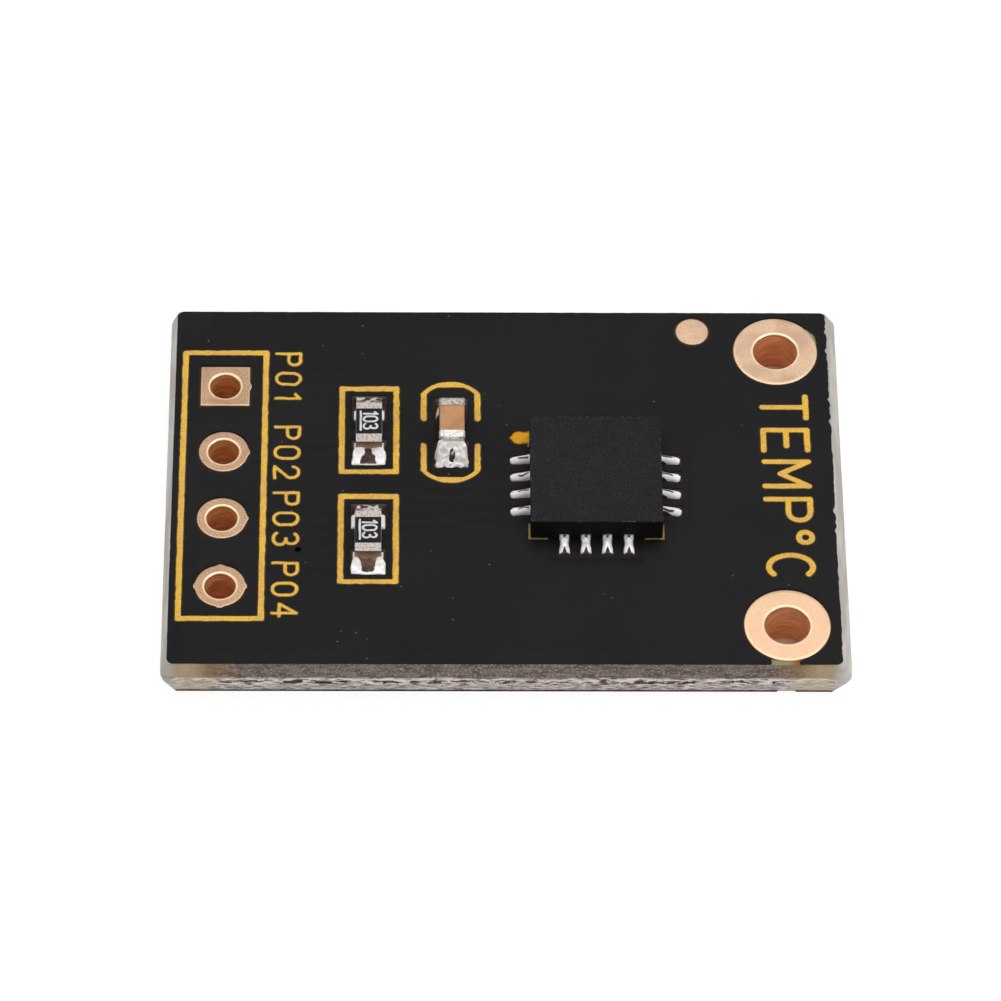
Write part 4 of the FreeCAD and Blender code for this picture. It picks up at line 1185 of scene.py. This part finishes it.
# the wedge: half widths of the painted dark reflection near and far; "spot": the flux spot's place across and
# out, and its radius; "sliver":
# where it starts and ends back along the dark flank, with its widths left and right
frontJoint = {
    "sideReach": 0.14 * mm, "toeReach": 1.0, "wrap": 0.30 * mm, "sideHeight": 0.8, "endHeight": 1.0,
    "dip": 0.45, "dipWidth": 0.45, "hollow": 1.8, "uneven": 0.12, "lump": 0.05 * mm, "pimple": 0.25,
    "lobe": 0.05 * mm, "lobeSize": 0.20 * mm, "spread": 0.0, "wedge": (0.42, 0.35), "wedgeShift": 0.03,
    "toeBand": 0.80, "stain": 0.72, "stainNear": 1.0, "spot": (0.0, 0.0, -1.0), "sliver": (0.0, 0.30 * mm),
    "sliverWidths": (0.07 * mm, 0.07 * mm), "endFilm": 0.0, "endNear": 0.0, "nearEnd": 0.3,
}
rearJoint = {
    **frontJoint, "endHeight": 2.1, "toeReach": 0.75, "hollow": 0.4, "dip": 0.06, "lump": 0.03 * mm,
    "lobe": 0.03 * mm, "wrap": 0.46 * mm, "wedge": (-0.5, -0.5), "stain": 0.0,
    "sliver": (0.16 * mm, 0.44 * mm), "endFilm": 0.95, "endNear": 0.76, "nearEnd": 0.5,
}
chipJoints = {
    ("resistor_rear", "front"): {**frontJoint, "wedge": (0.20, 0.70), "toeBand": 0.86, "wedgeShift": -0.02},
    ("resistor_rear", "rear"): rearJoint,
    ("resistor_front", "front"): {
        **frontJoint, "wedge": (0.82, 0.20), "toeBand": 0.76, "stain": 0.78, "stainNear": 0.42,
        "spot": (-0.05, 0.32 * mm, 0.09 * mm),
    },
    ("resistor_front", "rear"): {
        **rearJoint, "sideHeight": 1.0, "sliver": (0.02 * mm, 0.42 * mm),
        "sliverWidths": (0.13 * mm, 0.12 * mm),
    },
    ("capacitor", "front"): {
        **frontJoint, "toeReach": 1.05, "sideHeight": 0.35, "dip": 0.0, "hollow": 1.5,
        "uneven": 0.14, "lump": 0.13 * mm, "pimple": 0.6, "lobe": 0.10 * mm, "lobeSize": 0.10 * mm,
        "spread": 0.04 * mm, "wedge": (-0.5, -0.5), "stain": 0.8, "sliver": (0.0, 0.05 * mm),
        "spot": (-0.05, 0.30 * mm, 0.10 * mm),
    },
    ("capacitor", "rear"): {
        **rearJoint, "endHeight": 0.6, "hollow": 1.2, "sideHeight": 0.7, "wrap": 0.36 * mm,
        "sliver": (0.08 * mm, 0.26 * mm), "sliverWidths": (0.12 * mm, -1.0),
    },
}
for seed, ((part, end), look) in enumerate(chipJoints.items()):
    names = (f"{part}_{kind}_{end}" for kind in ("fillet", "solder", "terminal"))
    makeChipJoint(*names, look, 100 + 10 * seed)


# Solder on the sensor's terminals

leadLook = {
    "rows": 40, "columns": 25, "film": 0.006 * mm, "toe": 0.20, "pitch": 0.65 * mm, "tilt": 0.06 * mm,
    "tuck": 0.02 * mm, "crowns": (0.6, 0.3), "streaks": {"left": 0.55, "right": 0.75},
    "stains": {"left": 0.0, "front": 0.0, "right": 0.8, "rear": 1.0},
}


def leadShape(side, u, v, bend, lump):
    # half width as a share of the land's, height as a share of the node's, and flux with painted shade; u is
    # across, v along.
    # front and rear: a waist, a dip by the body, a notched toe; left and right: a round toe, a streak, and a
    # dark band along one side
    if side in ("front", "rear"):
        width = 0.86 - 0.16 * np.sin(math.pi * np.clip(v * 1.4, 0, 1)) + 0.12 * v + 0.03 * bend
        up = (0.9 - 0.5 * v) * (1 - 0.5 * np.exp(-(u / 0.30) ** 2) * (1 - smoothStep(v, 0.0, 0.22)))
        notch = smoothStep(v - 0.64 - 0.8 * np.abs(u), -0.03, 0.03)
        flux = np.maximum(0.8 * np.exp(-(u / 0.32) ** 2) * (1 - smoothStep(v, 0.02, 0.16)), 0.62 * notch)
        flux = np.maximum(flux, leadLook["stains"][side] * smoothStep(v, 0.25, 0.45))
        return width, up * (1 - 0.55 * notch) * lump, flux
    toeRound = np.sqrt(np.clip(1 - ((v - 1 + leadLook["toe"]) / leadLook["toe"]).clip(0) ** 2, 0.02, 1))
    width = (0.93 + 0.06 * bend) * toeRound
    up = (1 - 0.55 * v) * lump
    edge = -0.70 - 0.45 * smoothStep(v, 0.1, 0.6) + 0.15 * bend
    streak = np.exp(-((u + 0.10 + 0.35 * bend) / 0.22) ** 2)
    streak = streak * smoothStep(v, 0.04, 0.12) * (1 - smoothStep(v, 0.5, 0.72))
    # painted shade as well as flux: a dark band along the lead's side where u is low
    stain = leadLook["stains"][side] * smoothStep(edge - u, -0.08, 0.12)
    flux = np.maximum(stain, leadLook["streaks"][side] * streak)
    return width, up, flux


def makeLeadJoints(side, seed):
    # z = film + height * share * (1 - u^2)^crown over a strip u across and v along that covers the land
    node = f"sensor_solder_{side}"
    corner, opposite = low(node), high(node)
    vertical = side in ("front", "rear")
    outward = 1 if side in ("right", "rear") else -1
    axis = 1 if vertical else 0
    bodyEdge = (high("sensor_moulding") if outward > 0 else low("sensor_moulding"))[axis]
    bodyEdge = bodyEdge - outward * leadLook["tuck"]
    toe = (opposite if outward > 0 else corner)[axis]
    height = opposite[2] - copperTop - leadLook["film"]
    u = np.linspace(-1, 1, leadLook["columns"])[None, :]
    v = np.linspace(0, 1, leadLook["rows"])[:, None]
    middleLine = (corner[1 - axis] + opposite[1 - axis]) / 2
    halfLand = (opposite[1 - axis] - corner[1 - axis] - 3 * leadLook["pitch"]) / 2
    allPoints, allFaces, allFluxAndShade = [], [], []
    for place in range(4):
        wave = np.column_stack([v[:, 0] * 2.4, np.full(len(v), place * 3.1)])
        bend = latticeNoise(wave, 1.0, seed + 2)[:, None]
        lump = 1 + 0.10 * latticeNoise(wave * 2, 1.0, seed)[:, None]
        width, share, flux = leadShape(side, u, v, bend, lump)
        crown = np.clip(1 - u ** 2, 0, 1) ** leadLook["crowns"][axis]
        z = np.minimum(copperTop + leadLook["film"] + height * share * crown, opposite[2])
        across = middleLine + (place - 1.5) * leadLook["pitch"] + halfLand * width * u
        if not vertical:
            across = across + leadLook["tilt"] * (0.5 - v)
        reach = bodyEdge + (toe - bodyEdge) * v + 0 * u
        across, z, flux = (np.broadcast_to(grid, reach.shape) for grid in (across, z, flux))
        top = np.stack([across, reach, z] if vertical else [reach, across, z], -1)
        base = top.copy()
        base[..., 2] = copperTop
        grid = np.concatenate([top, base[:, ::-1]], axis=1)
        rows, columns = grid.shape[:2]
        faces = gridFaces(rows, columns, closedColumns=True).tolist()
        faces += [list(range(columns)), list(range((rows - 1) * columns, rows * columns))[::-1]]
        start = sum(len(points) for points in allPoints)
        allPoints.append(grid.reshape(-1, 3))
        if (outward > 0) == vertical:
            faces = [face[::-1] for face in faces]
        allFaces += [[spot + start for spot in face] for face in faces]
        allFluxAndShade.append(np.concatenate([flux, flux[:, ::-1]], axis=1).reshape(-1))
    points = np.concatenate(allPoints)
    piece = makePiece(f"lead_fillets_{side}", points, allFaces, brightSolder, [node], 70)
    addNumbers(piece, "flux", np.concatenate(allFluxAndShade))


for seed, side in enumerate(("left", "front", "right", "rear")):
    makeLeadJoints(side, 140 + 7 * seed)
print("solder made")


# The chip parts' own pieces keep their shapes: edges eased, and a finish each

easedEdges = {
    "sensor_moulding": 0.03 * mm, "resistor_rear_overcoat": 0.012 * mm, "resistor_front_overcoat": 0.012 * mm,
    "caps": 0.012 * mm,
}


def easeEdges(name, width):
    weld = nodes[name].modifiers.new("weld", "WELD")
    weld.merge_threshold = 1e-7
    bevel = nodes[name].modifiers.new("edge", "BEVEL")
    bevel.width = width
    bevel.segments = 2
    bevel.limit_method = "ANGLE"
    bevel.angle_limit = math.radians(40)
    bevel.use_clamp_overlap = True


def dress(name, material):
    slots = nodes[name].data.materials
    if len(slots) == 0:
        slots.append(material)
    for index in range(len(slots)):
        slots[index] = material


finishes = {
    "back_solder_mask": backMask, "capacitor_ceramic": tanCeramic, "sensor_moulding": blackMoulding,
    "resistor_rear_ceramic": whiteCeramic, "resistor_front_ceramic": whiteCeramic,
    "resistor_rear_overcoat": blackOvercoat, "resistor_front_overcoat": blackOvercoat,
    "sensor_thermal_pad": leadTin, "sensor_solder_centre": brightSolder,
}
capLooks = {
    ("resistor", "front"): resistorCap,
    ("resistor", "rear"): {**resistorCap, "stripStrength": 0.9, "strip": 0.13 * mm},
    ("capacitor", "front"): capacitorCap,
    ("capacitor", "rear"): {**capacitorCap, "light": linear(174, 166, 160), "dark": linear(122, 114, 108)},
}
for name in nodes:
    if name.startswith("copper_") or name == "sensor_unused_lands":
        finishes[name] = coatedLands
    if name.startswith("sensor_terminal_"):
        finishes[name] = leadTin
    elif "_terminal_" in name:
        finishes[name] = terminalMaterial(name, capLooks[name.split("_")[0], name.split("_")[-1]])
        easeEdges(name, easedEdges["caps"])
    if name in easedEdges:
        easeEdges(name, easedEdges[name])
for name, material in finishes.items():
    dress(name, material)


markLook = {
    "text": "103", "height": 0.42 * mm, "width": 0.062 * mm, "grown": 1.1, "narrow": 0.78, "gap": 0.20,
    "left": -0.16 * mm, "start": 0.36 * mm, "bar": -0.25 * mm, "thick": 0.006 * mm, "cell": 0.014 * mm,
}


def makeMarking(part, seed):
    # a plain number with a bar under it, printed on the overcoat
    look = markLook
    node = f"{part}_overcoat"
    x, y, top = (float(value) for value in (*middle(node)[:2], high(node)[2]))
    start = (x + look["left"], y + look["start"])
    strokes = textStrokes(look["text"], start, look["height"], look["gap"], look["narrow"])
    strokes.append(line((x + look["bar"], y + look["start"]), (x + look["bar"], y - look["start"])))
    corner, opposite = strokeBox(strokes, look["width"])
    field = strokeField(strokes, look["width"] * look["grown"], seed)
    inkPiece(f"{part}_mark", field, corner, opposite, material=whitePrint,
             ground=lambda spots: np.full(len(spots), top), height=look["thick"], cell=look["cell"])


makeMarking("resistor_rear", 160)
makeMarking("resistor_front", 163)
print("chips dressed")


# Floor, light and camera

stageLook = {
    "floorHalf": 1.5, "floorDrop": 2e-6, "floorColour": (0.86, 0.84, 0.84, 1), "white": (1, 1, 1, 1),
    "glow": 1.08, "glowShare": 0.85, "shadeHalf": (9.9 * mm, 6.5 * mm), "world": 0.42,
}


def seenRays(tree):
    # 1 for what the camera sees, also in metal and through glass
    rays = addNode(tree, "ShaderNodeLightPath").outputs
    mirrored = maths("MAXIMUM", rays["Is Glossy Ray"], rays["Is Transmission Ray"])
    return maths("MAXIMUM", rays["Is Camera Ray"], mirrored)


def makeFloor():
    # pale paint; seen from above it glows towards white, but not under the board, and from below it is clear
    look = stageLook
    mesh = bpy.data.meshes.new("floor")
    half, height = look["floorHalf"], -look["floorDrop"]
    corners = [(x * half, y * half, height) for x, y in ((-1, -1), (1, -1), (1, 1), (-1, 1))]
    mesh.from_pydata(corners, [], [(0, 1, 2, 3)])
    floor = bpy.data.objects.new("floor", mesh)
    bpy.context.scene.collection.objects.link(floor)
    material = bpy.data.materials.new("paleFloor")
    material.use_nodes = True
    tree = material.node_tree
    tree.nodes.clear()
    x, y = axes(objectCoordinates(tree))[:2]
    edgeX, edgeY = look["shadeHalf"]
    beyondX = maths("GREATER_THAN", absolute(x), edgeX)
    beyondY = maths("GREATER_THAN", absolute(y), edgeY)
    outside = maths("MAXIMUM", beyondX, beyondY)
    share = times(times(seenRays(tree), outside), look["glowShare"])
    paint = addNode(tree, "ShaderNodeBsdfDiffuse", {"Color": look["floorColour"]}).outputs[0]
    glow = addNode(tree, "ShaderNodeEmission", {"Color": look["white"], "Strength": look["glow"]}).outputs[0]
    both = fedNode("ShaderNodeMixShader", {0: share, 1: paint, 2: glow}).outputs[0]
    below = addNode(tree, "ShaderNodeNewGeometry").outputs["Backfacing"]
    clear = addNode(tree, "ShaderNodeBsdfTransparent").outputs[0]
    shown = fedNode("ShaderNodeMixShader", {0: below, 1: both, 2: clear}).outputs[0]
    fedNode("ShaderNodeOutputMaterial", {"Surface": shown})
    mesh.materials.append(material)


def makeWorld():
    world = bpy.data.worlds.new("studio")
    world.use_nodes = True
    tree = world.node_tree
    tree.nodes.clear()
    inputs = {"Value": seenRays(tree), "To Min": stageLook["world"], "To Max": 1.0}
    strength = fedNode("ShaderNodeMapRange", inputs).outputs[0]
    sky = fedNode("ShaderNodeBackground", {"Color": stageLook["white"], "Strength": strength})
    fedNode("ShaderNodeOutputWorld", {"Surface": sky.outputs[0]})
    bpy.context.scene.world = world


def stand(name, data, sides, place):
    # a lamp or camera at the place; its sides are right, up and back
    obj = bpy.data.objects.new(name, data)
    bpy.context.scene.collection.objects.link(obj)
    matrix = np.eye(4)
    matrix[:3, :3], matrix[:3, 3] = np.stack(sides, 1), place
    obj.matrix_world = Matrix(matrix.tolist())
    return obj


def addLamp(name, place, size, watts):
    # a flat lamp that faces the middle of the board
    lamp = bpy.data.lights.new(name, "AREA")
    lamp.shape = "RECTANGLE"
    lamp.size, lamp.size_y = size
    lamp.energy = watts
    back = np.array(place) / np.linalg.norm(place)
    right = np.cross([0, 0, 1], back)
    right /= np.linalg.norm(right)
    stand(name, lamp, (right, np.cross(back, right), back), place)


# each lamp's place, size and watts
lampLook = {
    "overheadLamp": ((0.03, 0.10, 0.34), (0.26, 0.20), 0.42),
    "rightLamp": ((0.30, -0.16, 0.22), (0.16, 0.20), 0.34),
    "leftLamp": ((-0.32, -0.06, 0.20), (0.16, 0.20), 0.16),
}
cameraLook = {
    "azimuth": -1.3792, "elevation": 53.0332, "roll": 1.2241, "distance": 176.938 * mm,
    "target": (-0.0968 * mm, -0.641 * mm, 1.6 * mm), "focalPixels": 5819.877, "imagePixels": 1001,
    "sensor": 36.0, "clip": (0.01, 10.0),
}


def makeCamera():
    azimuth, elevation, roll = (math.radians(cameraLook[key]) for key in ("azimuth", "elevation", "roll"))
    level = math.cos(elevation)
    back = np.array([math.sin(azimuth) * level, -math.cos(azimuth) * level, math.sin(elevation)])
    right = np.array([math.cos(azimuth), math.sin(azimuth), 0])
    up = np.cross(back, right)
    rolledRight = math.cos(roll) * right + math.sin(roll) * up
    rolledUp = math.cos(roll) * up - math.sin(roll) * right
    place = np.array(cameraLook["target"]) + cameraLook["distance"] * back
    data = bpy.data.cameras.new("camera")
    data.sensor_width = cameraLook["sensor"]
    data.lens = cameraLook["focalPixels"] * cameraLook["sensor"] / cameraLook["imagePixels"]
    data.clip_start, data.clip_end = cameraLook["clip"]
    bpy.context.scene.camera = stand("camera", data, (rolledRight, rolledUp, back), place)


makeFloor()
makeWorld()
for name, (place, size, watts) in lampLook.items():
    addLamp(name, place, size, watts)
makeCamera()
bpy.context.scene.view_settings.view_transform = "Standard"
print("stage set")
